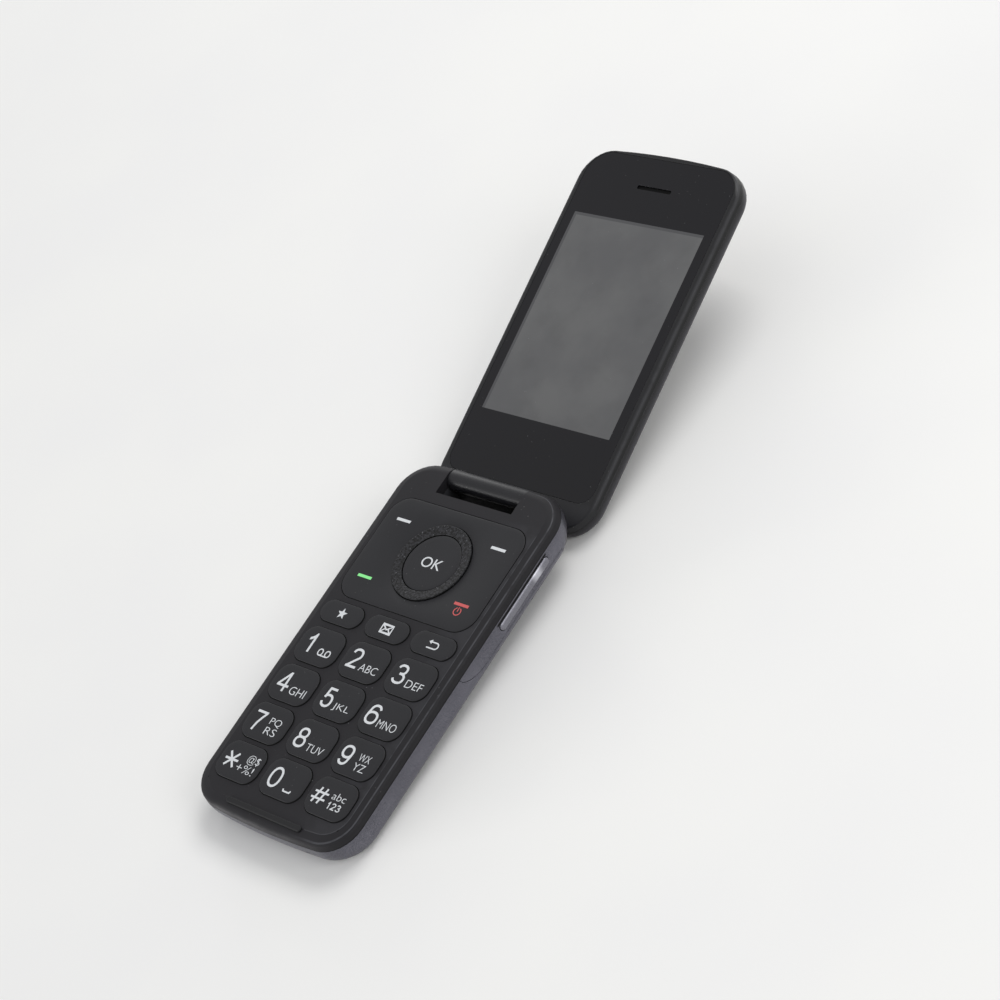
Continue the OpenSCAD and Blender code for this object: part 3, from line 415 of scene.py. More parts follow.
def board_finish():
    """Circuit board: solder mask over a grid of tracks and small pads."""
    f = Finish("circuit_board")
    x, y, _ = f.places()
    tracks = f.ease(abs((x * 4.2).sine()), 0.86, 0.95) * f.ease(f.noise(4, 0), 0.46, 0.5)
    cross = f.ease(abs((y * 3.3).sine()), 0.88, 0.96) * f.ease(f.noise(5, 0), 0.5, 0.54)
    pads = f.ease(f.cells(1.3, spread=0.4), 0.26, 0.2)
    shade = f.mix(tracks.most(cross) * 0.7, srgb(18, 72, 46), srgb(40, 110, 72))
    shade = f.mix(pads, shade, srgb(200, 165, 90))
    return f.shade(Base_Color=shade, Metallic=0.8 * pads, Roughness=0.42 - 0.1 * pads,
                   Normal=f.bump(tracks.most(pads), 0.02))


def soft_rubber(name, colour, rough, below=-1.0):
    """Silk-matt rubber with faint clouds, a fine grain and dust, and painted shade below the height given.
    """
    f = Finish(name)
    z = f.places()[2]
    grain = f.noise(0.25, 3)
    cloud = f.noise(5, 2)
    shade = f.mix(f.ease(cloud, 0.3, 0.75), deeper(colour, 0.82), colour)
    shade = f.mix(dust_on(f, 1.2, 0.08) * 0.4, shade, grey(0.35))
    # painted shade below the given height
    shade = f.mix(f.ease(z, below, below - 0.12), shade, SHADE_BLACK)
    return f.shade(Base_Color=shade, Roughness=rough + 0.08 * cloud, Specular_IOR_Level=0.3,
                   Normal=f.bump(grain, 0.01))


def foil_finish():
    """Polyimide flex with copper lines showing through."""
    f = Finish("flex_foil")
    x = f.places()[0]
    lines = f.ease(abs((x * 9.0).sine()), 0.55, 0.75)
    shade = f.mix(lines, srgb(168, 92, 30), srgb(206, 138, 66))
    return f.shade(Base_Color=shade, Roughness=0.3 + 0.1 * f.noise(2, 2), Normal=f.bump(lines, 0.01))


def mesh_steel():
    """Fine black woven wire."""
    f = Finish("mesh_steel")
    x, up, _ = f.lid_places()
    wires = abs((x * 17.0).sine()).least(abs((up * 17.0).sine()))
    shade = f.mix(f.ease(wires, 0.25, 0.6), grey(0.008), grey(0.0015))
    return f.shade(Base_Color=shade, Roughness=0.6 + 0.1 * wires, Specular_IOR_Level=0.08,
                   Normal=f.bump(wires, -0.03))


def printed(name, colour):
    """Screen ink: flat and dense, a little thinner in places, with a faint tooth."""
    f = Finish(name)
    marks = f.ease(f.noise(0.5, 3), 0.5, 0.8)
    shade = f.mix(marks * 0.22, colour, deeper(colour, 0.72))
    return f.shade(Base_Color=shade, Roughness=0.5 + 0.1 * marks, Specular_IOR_Level=0.3,
                   Normal=f.bump(f.noise(0.14, 1), 0.003))


FINISH = {
    "face_shell": moulded_black("face_shell", srgb(31, 30, 33), rough=0.55, grain=0.17, depth=0.007,
                                dust=0.4, level=0.21, marks=face_light_and_shade),
    "key_plastic": moulded_black("key_plastic", srgb(30, 30, 33), rough=0.5, grain=0.2, depth=0.006,
                                 dust=0.2, level=0.27, marks=key_wall_shade),
    "ring_coat": ring_finish(),
    "side_coat": metallic_paint("side_coat", srgb(72, 72, 80), srgb(126, 125, 135), metal=0.85,
                                rough=0.3, marks=side_paint_and_shade),
    "lid_coat": metallic_paint("lid_coat", srgb(30, 29, 34), srgb(56, 54, 62), metal=0.6, rough=0.34,
                               marks=lid_coat_shade),
    "lid_frame": moulded_black("lid_frame", srgb(29, 29, 32), rough=0.4, grain=0.13, depth=0.004,
                               dust=0.45, marks=lid_light_and_shade),
    "dark_plastic": moulded_black("dark_plastic", srgb(28, 28, 30), rough=0.5, grain=0.2, depth=0.008,
                                  dust=0.1),
    "speaker_case": moulded_black("speaker_case", srgb(50, 52, 57), rough=0.45, grain=0.25, depth=0.008,
                                  dust=0.1),
    "cell_case": metallic_paint("cell_case", srgb(56, 60, 68), srgb(72, 78, 88), metal=0.4, rough=0.4,
                                coat=0.1),
    "circuit_board": board_finish(),
    "dome_steel": plain_metal("dome_steel", srgb(200, 204, 210), rough=0.22),
    "pressed_steel": plain_metal("pressed_steel", srgb(184, 187, 192), rough=0.26),
    "tungsten": plain_metal("tungsten", srgb(140, 132, 120), rough=0.4, lines=False),
    "silicone": soft_rubber("silicone", srgb(214, 215, 216), rough=0.5),
    "cushion_rubber": soft_rubber("cushion_rubber", srgb(22, 22, 24), rough=0.66, below=FACE_Z + 0.2),
    "display_panel": panel_finish(),
    "display_glass": dark_glass("display_glass"),
    "dark_window": dark_glass("dark_window"),
    "mesh_steel": mesh_steel(),
    "flex_foil": foil_finish(),
}
INK_WHITE = printed("ink_white", srgb(212, 214, 216))
INK_GREEN = printed("ink_green", srgb(142, 236, 148))
INK_RED = printed("ink_red", srgb(198, 92, 92))

SLOT = {s["node"]: s["material_slot"] for s in frame["record"]["subparts"]}
BODY = {n: o["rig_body"] for n, o in frame["nodes"].items()}
for name, solid in frame["nodes"].items():
    for place in solid.material_slots:
        place.material = FINISH[SLOT[name]]


# ---- mesh making ----

def make_piece(name, verts, faces, finish, body, node=None, smooth=None):
    """A closed mesh from points in millimetres and faces, riding on a body, perhaps in a node's place."""
    mesh = bpy.data.meshes.new(name)
    mesh.from_pydata((np.asarray(verts, float) * MM).tolist(), [], faces)
    mesh.validate()
    if smooth:
        mesh.shade_smooth()
        mesh.set_sharp_from_angle(angle=math.radians(smooth))
    place_mesh(name, mesh, finish, body, node)


def place_mesh(name, mesh, finish, body, node=None):
    """Makes a mesh into a finished piece that rides on a body, perhaps in a node's place."""
    mesh.materials.clear()
    mesh.materials.append(finish)
    piece = bpy.data.objects.new(name, mesh)
    bpy.context.scene.collection.objects.link(piece)
    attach(piece, body)
    if node:
        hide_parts(node)
    return piece


def rounded_loops(w, l, r, insets, steps=9):
    """Rounded rectangles one inside the other: quarter circles of radius r - inset about the same four
    centres, anticlockwise from +X. Result has one row of points for each inset."""
    a = np.concatenate([np.linspace(q, q + 90, steps + 1) for q in (0, 90, 180, 270)]) * math.pi / 180
    sx = np.repeat([1, -1, -1, 1], steps + 1) * (w / 2 - r)
    sy = np.repeat([1, 1, -1, -1], steps + 1) * (l / 2 - r)
    rr = r - np.asarray(insets, float)[:, None]
    return np.stack([sx + rr * np.cos(a), sy + rr * np.sin(a)], -1)


def stack_faces(rows, n, ends=True):
    """Quads between rows rings of n points each, lowest ring first, and a face over either end."""
    i = np.arange(rows - 1)[:, None] * n
    j = np.arange(n)
    k = (j + 1) % n
    quads = np.stack([i + j, i + k, i + n + k, i + n + j], -1).reshape(-1, 4).tolist()
    if ends:
        quads.append(j[::-1].tolist())
        quads.append(((rows - 1) * n + j).tolist())
    return quads


def fillet(radius, top, flat, steps=6):
    """Section of a key's upper edge: a quarter round up to top, then a shallow rise of flat's depth
    over flat's run. Rows of (inset, height)."""
    run, drop = flat
    t = np.linspace(0, math.pi / 2, steps)
    edge = np.stack([radius * (1 - np.cos(t)), top - drop - radius * (1 - np.sin(t))], -1)
    s = np.linspace(0, 1, 5)[1:]
    dome = np.stack([radius + run * s, top - drop * (1 - s) ** 2], -1)
    return np.concatenate([edge, dome])


def cap_points(at, w, l, r, section):
    """Rings of a cap: each row of the section (inset, height) is one rounded rectangle."""
    loops = rounded_loops(w, l, r, section[:, 0])
    z = np.broadcast_to(section[:, 1][:, None], loops.shape[:2])
    return np.concatenate([loops + np.asarray(at), z[..., None]], -1).reshape(-1, 3), loops.shape


def key_section(top, edge=0.17, dome=(1.1, 0.05)):
    """Flange, wall and rounded crown of a key, from underneath upwards."""
    foot = KEY_BASE_Z
    lower = [(-FLANGE_W, foot), (-FLANGE_W, foot + FLANGE_T), (0, foot + FLANGE_T)]
    return np.concatenate([lower, fillet(edge, top, dome)])


def key(node):
    """One key cap, from its flange to its softly crowned top, in its node's own place and size."""
    at, size = middle(node), span(node)
    w, l = size.x - 2 * FLANGE_W, size.y - 2 * FLANGE_W
    corner = min(KEY_CORNER, l / 2 - 0.01)
    points, (rows, n, _) = cap_points(at.xy, w, l, corner, key_section(KEY_TOP_Z))
    faces = stack_faces(rows, n)
    make_piece(node + "_cap", points, faces, FINISH["key_plastic"], BODY[node], node, smooth=CREASE)


def lathed(section, centre, n=128):
    """A closed section of (radius, height) carried round a vertical axis."""
    a = np.arange(n) * 2 * math.pi / n
    r, z = np.asarray(section, float).T
    x = centre[0] + r[:, None] * np.cos(a)
    y = centre[1] + r[:, None] * np.sin(a)
    points = np.stack([x, y, np.broadcast_to(z[:, None], x.shape)], -1).reshape(-1, 3)
    rows = len(r)
    i = np.arange(rows)
    j = np.arange(n)
    k = (i + 1) % rows
    quads = np.stack([i[:, None] * n + j, i[:, None] * n + (j + 1) % n,
                      k[:, None] * n + (j + 1) % n, k[:, None] * n + j], -1)
    return points, quads.reshape(-1, 4).tolist()


def refined(node, edge, smooth=34, limit=36):
    """A merged copy of a node's mesh, flat faces joined up, its curves smooth up to smooth degrees, and
    its edges sharper than limit degrees rounded over edge millimetres."""
    mesh = frame["nodes"][node].data.copy()
    work = bmesh.new()
    work.from_mesh(mesh)
    bmesh.ops.remove_doubles(work, verts=work.verts, dist=1e-6)
    bmesh.ops.dissolve_limit(work, angle_limit=math.radians(0.4), verts=work.verts, edges=work.edges)
    work.to_mesh(mesh)
    work.free()
    mesh.shade_smooth()
    mesh.set_sharp_from_angle(angle=math.radians(smooth))
    piece = place_mesh(node + "_finished", mesh, FINISH[SLOT[node]], BODY[node], node)
    bevel = piece.modifiers.new("rounded_edges", "BEVEL")
    bevel.width = edge * MM
    bevel.segments = 2
    bevel.limit_method = "ANGLE"
    bevel.angle_limit = math.radians(limit)
    bevel.use_clamp_overlap = True
    even = piece.modifiers.new("flat_faces_stay_flat", "WEIGHTED_NORMAL")
    even.weight = 90
    even.keep_sharp = True


# ---- shells ----

refined("front_housing", 0.12)
refined("rear_housing", 0.08)
refined("battery_cover", 0.08)
refined("lid_inner_housing", 0.1)
refined("lid_outer_housing", 0.08)
refined("display_window", 0.06)
refined("lid_cushion", 0.2)
refined("outer_window", 0.08)
refined("camera_lens", 0.08)

# ---- keys ----

for sign in (*range(1, 10), "star", 0, "hash"):
    key("key_%s" % sign)
for node in ("favourites_key", "message_key", "back_key"):
    key(node)


def soft_key_plate():
    """Plate with a round hole. Each loop of its rounded outer edge is taken where rays from the middle
    meet it, at the bearings of the hole's circle, so that the top between them is one flat sheet."""
    at, size, top = middle("soft_key_plate"), span("soft_key_plate"), PLATE_Z
    outer = key_section(top, 0.2, (1.2, 0.05))
    loops = rounded_loops(size.x - 2 * FLANGE_W, size.y - 2 * FLANGE_W, 5.5, outer[:, 0], 10)
    n = 160
    bearing = np.arange(n) * 2 * math.pi / n
    rings = []
    for loop, z in zip(loops, outer[:, 1]):
        closed = np.concatenate([loop, loop[:1]])
        share = np.linspace(0, 1, 400)[:, None]
        seg = closed[:-1, None] + (closed[1:] - closed[:-1])[:, None] * share
        seg = seg.reshape(-1, 2)
        a = np.unwrap(np.arctan2(seg[:, 1], seg[:, 0]))
        order = np.argsort(a)
        x = np.interp(bearing, a[order], seg[order, 0], period=2 * math.pi)
        y = np.interp(bearing, a[order], seg[order, 1], period=2 * math.pi)
        rings.append(np.stack([x, y, np.full(n, z)], -1))
    hole = RING_R + KEY_GAP
    well = RING_R + RING_FLANGE + KEY_GAP
    step = KEY_BASE_Z + 1.3
    for r, z in ((hole + 0.22, top), (hole + 0.06, top - 0.06), (hole, top - 0.2), (hole, step),
                 (well, step), (well, KEY_BASE_Z)):
        rings.append(np.stack([r * np.cos(bearing), r * np.sin(bearing), np.full(n, z)], -1))
    points = np.concatenate(rings) + (0, at.y, 0)
    rows = len(rings)
    quads = stack_faces(rows, n, ends=False)
    i = (rows - 1) * n
    j = np.arange(n)
    k = (j + 1) % n
    quads += np.stack([i + j, i + k, k, j], -1).tolist()
    make_piece("soft_key_plate_cap", points, quads, FINISH["key_plastic"], BODY["soft_key_plate"],
               "soft_key_plate", smooth=CREASE)


def nav_ring():
    """Ring that stands above the plate; its coarse top falls towards the round key."""
    at, (base, top) = middle("nav_ring"), [corner.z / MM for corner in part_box("nav_ring")]
    r0, outer_edge, inner_edge = OK_R + KEY_GAP, 0.14, 0.1
    room, rim = r0 + 0.75, RING_R + RING_FLANGE
    t = np.linspace(0, math.pi / 2, 6)
    outer = np.stack([RING_R - outer_edge * (1 - np.cos(t)), top - outer_edge * (1 - np.sin(t))], -1)
    u = np.linspace(0, 1, 9)[1:-1]
    across, fall = (RING_R - outer_edge) - (r0 + inner_edge), top - OK_Z - 0.07
    dome = np.stack([RING_R - outer_edge - across * u, top - fall * u], -1)
    inner = np.stack([r0 + inner_edge * (1 - np.sin(t)), top - fall - inner_edge * (1 - np.cos(t))], -1)
    foot = [(room, base), (rim, base), (rim, base + 0.5), (RING_R, base + 0.5)]
    inside = [(r0, base + 0.65), (room, base + 0.65)]
    points, quads = lathed(np.concatenate([foot, outer, dome, inner, inside]), at)
    make_piece("nav_ring_coat", points, quads, FINISH["ring_coat"], BODY["nav_ring"], "nav_ring", smooth=40)


def ok_key():
    """Round key with a very slightly domed top inside the ring; its middle is one small disc."""
    at, rim = middle("ok_key"), OK_R + RING_FLANGE
    foot = [(rim, KEY_BASE_Z), (rim, KEY_BASE_Z + 0.4), (OK_R, KEY_BASE_Z + 0.4)]
    section = np.concatenate([foot, fillet(0.25, OK_Z, (1.2, 0.05)) * (-1, 1) + (OK_R, 0)])
    n = 128
    a = np.arange(n) * 2 * math.pi / n
    rings = np.stack([section[:, 0, None] * np.cos(a), at.y + section[:, 0, None] * np.sin(a),
                      np.broadcast_to(section[:, 1, None], (len(section), n))], -1)
    make_piece("ok_key_cap", rings.reshape(-1, 3), stack_faces(len(section), n), FINISH["key_plastic"],
               BODY["ok_key"], "ok_key", smooth=CREASE)


def volume_key():
    """Long pill on the side wall, crowned outwards; its rings are stacked along X."""
    at, size, low = middle("volume_key"), span("volume_key"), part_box("volume_key")[0].x / MM
    out, flange, crown_w, crown_h = low + size.x, 0.6, 0.85, 0.5
    t = np.linspace(0, math.pi / 2, 8)
    crown = np.stack([crown_w * (1 - np.cos(t)), out - crown_h + crown_h * np.sin(t)], -1)
    wall = [(-flange, low), (-flange, low + 1), (0, low + 1), (0, out - 0.6)]
    section = np.concatenate([wall, crown])
    w, l = size.y - 2 * flange, size.z - 2 * flange
    loops = rounded_loops(w, l, l / 2 - 0.01, np.minimum(section[:, 0], 1.1), 8)
    x = np.broadcast_to(section[:, 1][:, None], loops.shape[:2])
    points = np.stack([x, loops[..., 0] + at.y, loops[..., 1] + at.z], -1)
    make_piece("volume_key_cap", points.reshape(-1, 3), stack_faces(*points.shape[:2]), FINISH["side_coat"],
               BODY["volume_key"], "volume_key", smooth=50)


soft_key_plate()
nav_ring()
ok_key()
volume_key()

# ---- printed legends ----

INK = 0.022             # thickness of the print
SINK = 0.012            # how deep it sits in the key's top
PEN = 0.64              # width of a digit's line
THIN = -0.011           # how far lettering is drawn in, in shares of the type's size
HAIR = 0.004            # lines that cross lie this much above one another
ROUND = 22              # points of a whole oval


def solid_outline(outline, z=KEY_TOP_Z):
    """A closed thin plate over one outline: the same ring at two heights, joined."""
    n = len(outline)
    low = np.column_stack([outline, np.full(n, z - SINK)])
    high = np.column_stack([outline, np.full(n, z + INK)])
    return np.concatenate([low, high]), stack_faces(2, n)


def stroke(path, width, z=KEY_TOP_Z, round_ends=True):
    """A line of even width along a path: both sides are the path moved by half the width along its
    normal, with half circles at the ends."""
    p = np.asarray(path, float)
    d = np.diff(p, axis=0)
    d /= np.linalg.norm(d, axis=1)[:, None]
    lead = np.concatenate([d[:1], d])
    tail = np.concatenate([d, d[-1:]])
    mean = lead + tail
    mean /= np.linalg.norm(mean, axis=1)[:, None]
    normal = np.stack([-mean[:, 1], mean[:, 0]], -1)
    miter = np.clip(1 / np.maximum((mean * tail).sum(1), 0.35), 1, 1.6)[:, None]
    side = normal * miter * width / 2
    a = np.linspace(math.pi / 2, -math.pi / 2, 7)[1:-1]
    ends = []
    for at, way in ((p[-1], d[-1]), (p[0], -d[0])):
        across = np.array([-way[1], way[0]])
        cap = at + width / 2 * (np.sin(a)[:, None] * across + np.cos(a)[:, None] * way)
        ends.append(cap if round_ends else np.zeros((0, 2)))
    left, right = p + side, p - side
    outline = np.concatenate([left, ends[0], right[::-1], ends[1]])
    return solid_outline(outline[::-1], z)


def closed_line(path, width, z=KEY_TOP_Z):
    """A closed line of even width: the path moved by half the width along its normal to either side, as
    an outer and an inner ring at two heights."""
    p = np.asarray(path, float)
    way = np.roll(p, -1, 0) - np.roll(p, 1, 0)
    way /= np.linalg.norm(way, axis=1)[:, None]
    to = np.roll(p, -1, 0) - p
    to /= np.linalg.norm(to, axis=1)[:, None]
    miter = 1 / np.maximum((way * to).sum(1), 0.35)
    side = np.stack([way[:, 1], -way[:, 0]], -1) * miter[:, None] * width / 2
    n = len(p)
    rings = [np.column_stack([q, np.full(n, h)]) for q, h in
             ((p + side, z - SINK), (p + side, z + INK), (p - side, z + INK), (p - side, z - SINK))]
    quads = stack_faces(4, n, ends=False)
    j = np.arange(n)
    k = (j + 1) % n
    quads += np.stack([3 * n + j, 3 * n + k, k, j], -1).tolist()
    return np.concatenate(rings), quads


def bend(cx, cy, r, a0, a1, n=10):
    """Points of an arc from bearing a0 to a1, in degrees."""
    a = np.radians(np.linspace(a0, a1, n))
    return np.stack([cx + r * np.cos(a), cy + r * np.sin(a)], -1)


def glyphs(text, x0, x1, y0, y1, z=KEY_TOP_Z, weight=THIN):
    """Lettering as a closed plate: the outlines are scaled so that they fill x0 to x1 and y0 to y1."""
    curve = bpy.data.curves.new("lettering", "FONT")
    curve.body = text
    curve.extrude = 0.01
    curve.offset = weight
    curve.resolution_u = 6
    holder = bpy.data.objects.new("lettering", curve)
    mesh = bpy.data.meshes.new_from_object(holder)
    work = bmesh.new()
    work.from_mesh(mesh)
    bmesh.ops.remove_doubles(work, verts=work.verts, dist=1e-5)
    co = np.array([v.co[:] for v in work.verts])
    work.verts.index_update()
    faces = [[v.index for v in f.verts] for f in work.faces]
    work.free()
    bpy.data.objects.remove(holder)
    bpy.data.curves.remove(curve)
    bpy.data.meshes.remove(mesh)
    lo, hi = co.min(0), co.max(0)
    x = x0 + (co[:, 0] - lo[0]) / (hi[0] - lo[0]) * (x1 - x0)
    y = y0 + (co[:, 1] - lo[1]) / (hi[1] - lo[1]) * (y1 - y0)
    return np.column_stack([x, y, np.where(co[:, 2] > 0, z + INK, z - SINK)]), faces


def legend(name, parts, finish, body):
    """Joins plates into one printed piece on a body."""
    points, faces, start = [], [], 0
    for p, f in parts:
        points.append(p)
        faces += [[i + start for i in g] for g in f]
        start += len(p)
    make_piece(name, np.concatenate(points), faces, finish, body)


def oval(cx, cy, rx, ry, a0=0, a1=360, n=ROUND):
    """Part of a slightly squared oval from bearing a0 to a1: cosine and sine to the power 0.88."""
    a = np.radians(np.linspace(a0, a1, n, endpoint=abs(a1 - a0) < 360))
    c, s = [np.sign(v) * np.abs(v) ** 0.88 for v in (np.cos(a), np.sin(a))]
    return np.stack([cx + rx * c, cy + ry * s], -1)


def joined(*runs):
    """Runs of points as one line."""
    return np.concatenate([np.asarray(r, float) for r in runs])


SIX = [oval(0.5, 0.31, 0.5, 0.31),
       joined(oval(0.54, 0.66, 0.44, 0.34, 22, 168, 14), [(0.03, 0.5), (0.0, 0.3)])]
# Lines of each digit in a box of one by one. Only a closed oval has ROUND points.
DIGIT = {
    "0": [oval(0.5, 0.5, 0.5, 0.5)],
    "1": [[(0.62, -0.1), (0.62, 1.1)], [(0.62, 0.98), (0.1, 0.7)]],
    "2": [joined(oval(0.5, 0.72, 0.46, 0.28, 172, -30, 16),
                 [(0.66, 0.42), (0.34, 0.2), (0.12, 0.06), (0.05, -0.03)]),
          [(-0.09, 0), (1.02, 0)]],
    "3": [joined(oval(0.47, 0.76, 0.43, 0.24, 168, -84, 16), [(0.36, 0.525)]),
          joined([(0.36, 0.52)], oval(0.49, 0.265, 0.51, 0.265, 86, -168, 18))],
    "4": [[(0.72, -0.07), (0.72, 1.07)], [(0.7, 1.02), (0.02, 0.29)], [(-0.08, 0.26), (1.1, 0.26)]],
    "5": [[(0.14, 1), (0.98, 1)], [(0.22, 1.05), (0.1, 0.46)],
          joined([(0.06, 0.47)], oval(0.5, 0.32, 0.5, 0.32, 140, -168, 20))],
    "6": SIX,
    "7": [[(-0.08, 1), (1.08, 1)], [(1.0, 1.0), (0.72, 0.68), (0.5, 0.35), (0.38, -0.07)]],
    "8": [oval(0.5, 0.76, 0.42, 0.24), oval(0.5, 0.265, 0.5, 0.265)],
    "9": [1 - np.asarray(line) for line in SIX],
}


def figure(digit, x0, x1, y0, height=5.5, pen=PEN):
    """One digit from x0 to x1, standing on y0; each line lies a hair higher than the one before it."""
    low = np.array([x0, y0]) + pen / 2
    size = np.array([x1 - x0, height]) - pen
    parts = []
    for i, line in enumerate(DIGIT[digit]):
        line, z = low + np.asarray(line) * size, KEY_TOP_Z + HAIR * i
        whole = len(line) == ROUND
        parts.append(closed_line(line, pen, z) if whole else stroke(line, pen, z, False))
    return parts


def shifted(parts, at):
    """The same parts, moved across by at."""
    return [(p + (at[0], at[1], 0), f) for p, f in parts]


def lifted(parts):
    """The same parts, each a hair higher than the one before, so that none lies in another's face."""
    return [(p + (0, 0, HAIR * i), f) for i, (p, f) in enumerate(parts)]


# digit, its left and right edge from the key's middle and its foot, letters with their edges and height
WORDS = {
    "key_2": ("2", -5.05, -1.35, -2.4, "ABC", -0.5, 5.35, 2.1),
    "key_3": ("3", -5.4, -1.65, -2.4, "DEF", -0.5, 4.95, 2.1),
    "key_4": ("4", -5.0, -1.05, -2.7, "GHI", 0.0, 5.3, 2.2),
    "key_5": ("5", -5.1, -1.6, -2.7, "JKL", -0.6, 4.8, 2.2),
    "key_6": ("6", -5.7, -1.75, -2.7, "MNO", -1.0, 5.1, 2.2),
    "key_8": ("8", -5.15, -1.45, -2.95, "TUV", -0.35, 5.25, 2.0),
}


def key_legend(node, parts):
    """White print on a key; the parts are placed from the key's middle."""
    legend("legend_" + node, shifted(parts, middle(node)), INK_WHITE, node)


for node, (digit, a, b, foot, letters, p, q, tall) in WORDS.items():
    key_legend(node, figure(digit, a, b, foot) + [glyphs(letters, p, q, foot, foot + tall)])

flag = [(-2.33, -2.4), (-2.33, 3.1), (-2.8, 3.1), (-3.1, 2.45), (-3.6, 1.95), (-4.25, 1.6), (-4.25, 0.85),
        (-3.6, 1.1), (-3.0, 1.55), (-3.0, -2.4)]
reels = [closed_line(oval(x, -1.3, 0.74, 0.86), 0.34) for x in (1.42, 3.9)]
tape = stroke([(1.42, -2.17), (3.9, -2.17)], 0.34)
key_legend("key_1", [solid_outline(np.array(flag))] + lifted(reels + [tape]))
key_legend("key_7", figure("7", -5.0, -1.25, -2.95) + [
    glyphs("PQ", 0.55, 4.4, -0.42, 1.75), glyphs("RS", 0.6, 4.4, -2.93, -0.9)])
key_legend("key_9", figure("9", -5.5, -1.85, -2.95) + [
    glyphs("WX", 0.25, 3.95, -0.45, 1.5), glyphs("YZ", 0.15, 3.85, -3.05, -1.05)])

arms = []
for reach, bearing in ((2.2, 0), (2.5, 0.9), (2.5, math.pi - 0.9)):
    tip = reach * np.array([math.cos(bearing), math.sin(bearing)])
    arms.append(stroke([tip, -tip], 0.6, round_ends=False))
key_legend("key_star", lifted(shifted(arms, (-3.1, -0.2))) + [
    glyphs("@$", 1.55, 5.65, -0.05, 2.6), glyphs("+%!", -0.4, 5.4, -2.55, -0.35)])

space = stroke([(1.1, -2.1), (1.32, -2.66), (3.4, -2.66), (3.62, -2.1)], 0.4, round_ends=False)
key_legend("key_0", figure("0", -5.1, -1.2, -3.0, 5.6) + [space])

bars = [stroke([(x, -2.12), (x + 1, 2.12)], 0.54, round_ends=False) for x in (-1.42, 0.38)]
bars += [stroke([(x, y), (x + 4.5, y)], 0.5, round_ends=False) for x, y in ((-2.3, -0.87), (-2.02, 0.83))]
small = []
for digit, a, b in (("1", 0.0, 1.1), ("2", 1.4, 2.75), ("3", 3.05, 4.35)):
    small += figure(digit, a, b, -2.52, 1.85, 0.28)
key_legend("key_hash", lifted(shifted(bars, (-3.6, -0.2))) + [glyphs("abc", 0.0, 4.4, 0.05, 1.95)] + small)

corners = np.arange(10)
bearing = np.radians(90 + 36 * corners)
reach = np.where(corners % 2 == 0, 1.62, 0.68)
star = np.stack([0.15 + reach * np.cos(bearing), reach * np.sin(bearing)], -1)
key_legend("favourites_key", [solid_outline(star)])

envelope = [(-1.75, -1.15), (1.75, -1.15), (1.75, 1.15), (-1.75, 1.15)]
folds = [[(-1.5, 0.95), (0, -0.2), (1.5, 0.95)], [(-1.5, -0.95), (-0.45, 0.1)],
         [(1.5, -0.95), (0.45, 0.1)]]
key_legend("message_key", lifted([closed_line(envelope, 0.42)] + [stroke(line, 0.36) for line in folds]))

shaft = joined([(-1.45, -0.95), (0.9, -0.95)], bend(0.9, -0.1, 0.85, -80, 80), [(0.9, 0.75), (-1.1, 0.75)])
head = [(-0.85, 1.12), (-1.4, 0.75), (-0.85, 0.38)]
key_legend("back_key", lifted([stroke(shaft, 0.36), stroke(head, 0.34)]))


def dash(x, y):
    """The short bar of a soft key or call key, with square ends."""
    return stroke([(x - 2.35, y), (x + 2.35, y)], 0.78, PLATE_Z, False)


def plate_legend(name, parts, finish):
    """Print on the soft key plate; the parts are placed from the plate's middle."""
    legend(name, shifted(lifted(parts), middle("soft_key_plate")), finish, "soft_key_plate")


plate_legend("legend_soft_keys", [dash(-16.43, 8.75), dash(16.1, 8.75)], INK_WHITE)
plate_legend("legend_call", [dash(-16.7, -8.9)], INK_GREEN)
power_ring = stroke(bend(16.1, -10.0, 1.05, 122, 418, 26), 0.27, PLATE_Z)
power_bar = stroke([(16.1, -9.95), (16.1, -8.9)], 0.27, PLATE_Z)
plate_legend("legend_end_call", [dash(16.1, -8.05), power_ring, power_bar], INK_RED)
letters = glyphs("OK", -3.2, 3.4, -1.6, 1.35, OK_Z, weight=0.0)
legend("legend_ok", shifted([letters], middle("ok_key")), INK_WHITE, "ok_key")

# ---- floor, light and camera ----

def resting_line():
    """The open phone rests on the chin and on the lid's heel: a line under both, as (y, z, slope), found
    by taking the lowest point of either half again and again, square to the last slope."""
    halves = []
    for nodes in (("battery_cover", "rear_housing"), ("lid_outer_housing",)):
        points = [v.co for n in nodes for v in frame["nodes"][n].data.vertices]
        halves.append(np.array([(p.y, p.z) for p in points]) / MM)
    tilt = 0.0
    for _ in range(8):
        chin, heel = [h[np.argmin(h @ (-math.sin(tilt), math.cos(tilt)))] for h in halves]
        tilt = math.atan2(heel[1] - chin[1], heel[0] - chin[0])
    return chin[0], chin[1], tilt


rest_y, rest_z, slope = resting_line()
LOOK = Vector((0, 45, 5))       # the phone's middle, which the lamps are turned to


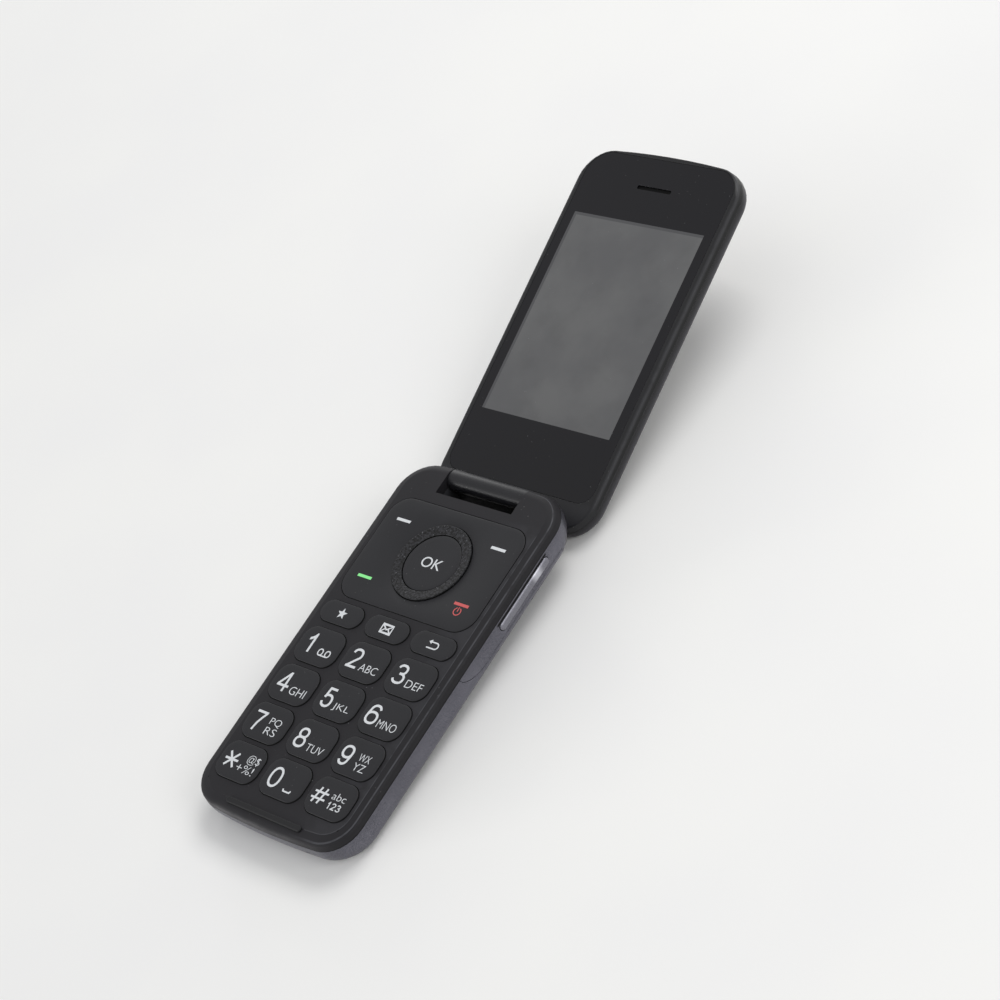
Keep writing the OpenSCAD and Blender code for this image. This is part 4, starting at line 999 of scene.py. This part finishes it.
def floor_sheet():
    """Flat sheet just under the two lines on which the phone rests: height falls in step with y."""
    half, gap = 3000, 0.03
    u = np.linspace(-half, half, 33)
    x, y = np.meshgrid(u, u)
    z = rest_z - gap + (y - rest_y) * math.tan(slope)
    n = len(u)
    points = np.stack([x, y, z], -1).reshape(-1, 3) * MM
    i = (np.arange(n - 1)[:, None] * n + np.arange(n - 1)).ravel()
    quads = np.stack([i, i + 1, i + n + 1, i + n], -1)
    mesh = bpy.data.meshes.new("floor")
    mesh.from_pydata(points.tolist(), [], quads.tolist())
    f = Finish("floor_paper")
    tooth = f.noise(0.8, 3)
    shade = f.mix(f.ease(f.noise(60, 2), 0.3, 0.7), srgb(239, 238, 236), srgb(241, 240, 237))
    mesh.materials.append(f.shade(Base_Color=shade, Roughness=0.75 + 0.1 * tooth, Specular_IOR_Level=0.1,
                                  Normal=f.bump(tooth, 0.01)))
    floor = bpy.data.objects.new("floor", mesh)
    bpy.context.scene.collection.objects.link(floor)


def softbox(name, at, size, power):
    """Square-cornered lamp at a place in millimetres, turned towards the phone's middle."""
    lamp = bpy.data.lights.new(name, "AREA")
    lamp.shape = "RECTANGLE"
    lamp.size, lamp.size_y = size[0] * MM, size[1] * MM
    lamp.energy = power
    holder = bpy.data.objects.new(name, lamp)
    holder.location = Vector(at) * MM
    holder.rotation_euler = ((LOOK - Vector(at)) * MM).to_track_quat("-Z", "Y").to_euler()
    bpy.context.scene.collection.objects.link(holder)


def studio_air():
    """Even dim light all round, and a pale backdrop for whatever looks past the floor."""
    world = bpy.data.worlds.new("studio_air")
    bpy.context.scene.world = world
    world.use_nodes = True
    tree = world.node_tree
    tree.nodes.clear()
    path = tree.nodes.new("ShaderNodeLightPath")
    seen = Value(tree, path.outputs["Is Camera Ray"]).most(Value(tree, path.outputs["Is Glossy Ray"]))
    seen = seen.most(Value(tree, path.outputs["Is Transmission Ray"]))
    air = tree.nodes.new("ShaderNodeBackground")
    air.inputs["Color"].default_value = (0.95, 0.97, 1.0, 1)
    air.inputs["Strength"].default_value = 0.5
    backdrop = tree.nodes.new("ShaderNodeBackground")
    backdrop.inputs["Color"].default_value = srgb(232, 232, 233)
    backdrop.inputs["Strength"].default_value = 1.0
    both = tree.nodes.new("ShaderNodeMixShader")
    tree.links.new(seen.socket, both.inputs[0])
    tree.links.new(air.outputs[0], both.inputs[1])
    tree.links.new(backdrop.outputs[0], both.inputs[2])
    out = tree.nodes.new("ShaderNodeOutputWorld")
    tree.links.new(both.outputs[0], out.inputs["Surface"])


floor_sheet()
studio_air()
softbox("key_light", at=(150, 750, 800), size=(700, 500), power=5.0)
softbox("side_light", at=(800, 100, 500), size=(500, 400), power=2.2)
softbox("front_light", at=(-500, -730, 190), size=(650, 240), power=4.6)
softbox("rim_light", at=(-700, 600, 160), size=(300, 300), power=1.0)

camera = bpy.data.objects.new("camera", bpy.data.cameras.new("camera"))
bpy.context.scene.collection.objects.link(camera)
camera.data.lens, camera.data.sensor_width = 99.4, 36
camera.data.clip_start = 0.01
right = Vector((0.72248445, 0.5256418, -0.44912908))
up = Vector((-0.21024591, 0.78587536, 0.58154671))
back = Vector((0.65864473, -0.32573091, 0.67829676))
turn = Matrix((right, up, back)).transposed().to_4x4()
camera_at = Vector((452.09, HINGE[1] - 223.32, 468.02))
camera.matrix_world = Matrix.Translation(camera_at * MM) @ turn
bpy.context.scene.camera = camera

view = bpy.context.scene.view_settings
view.view_transform = "Standard"

bpy.context.view_layer.update()
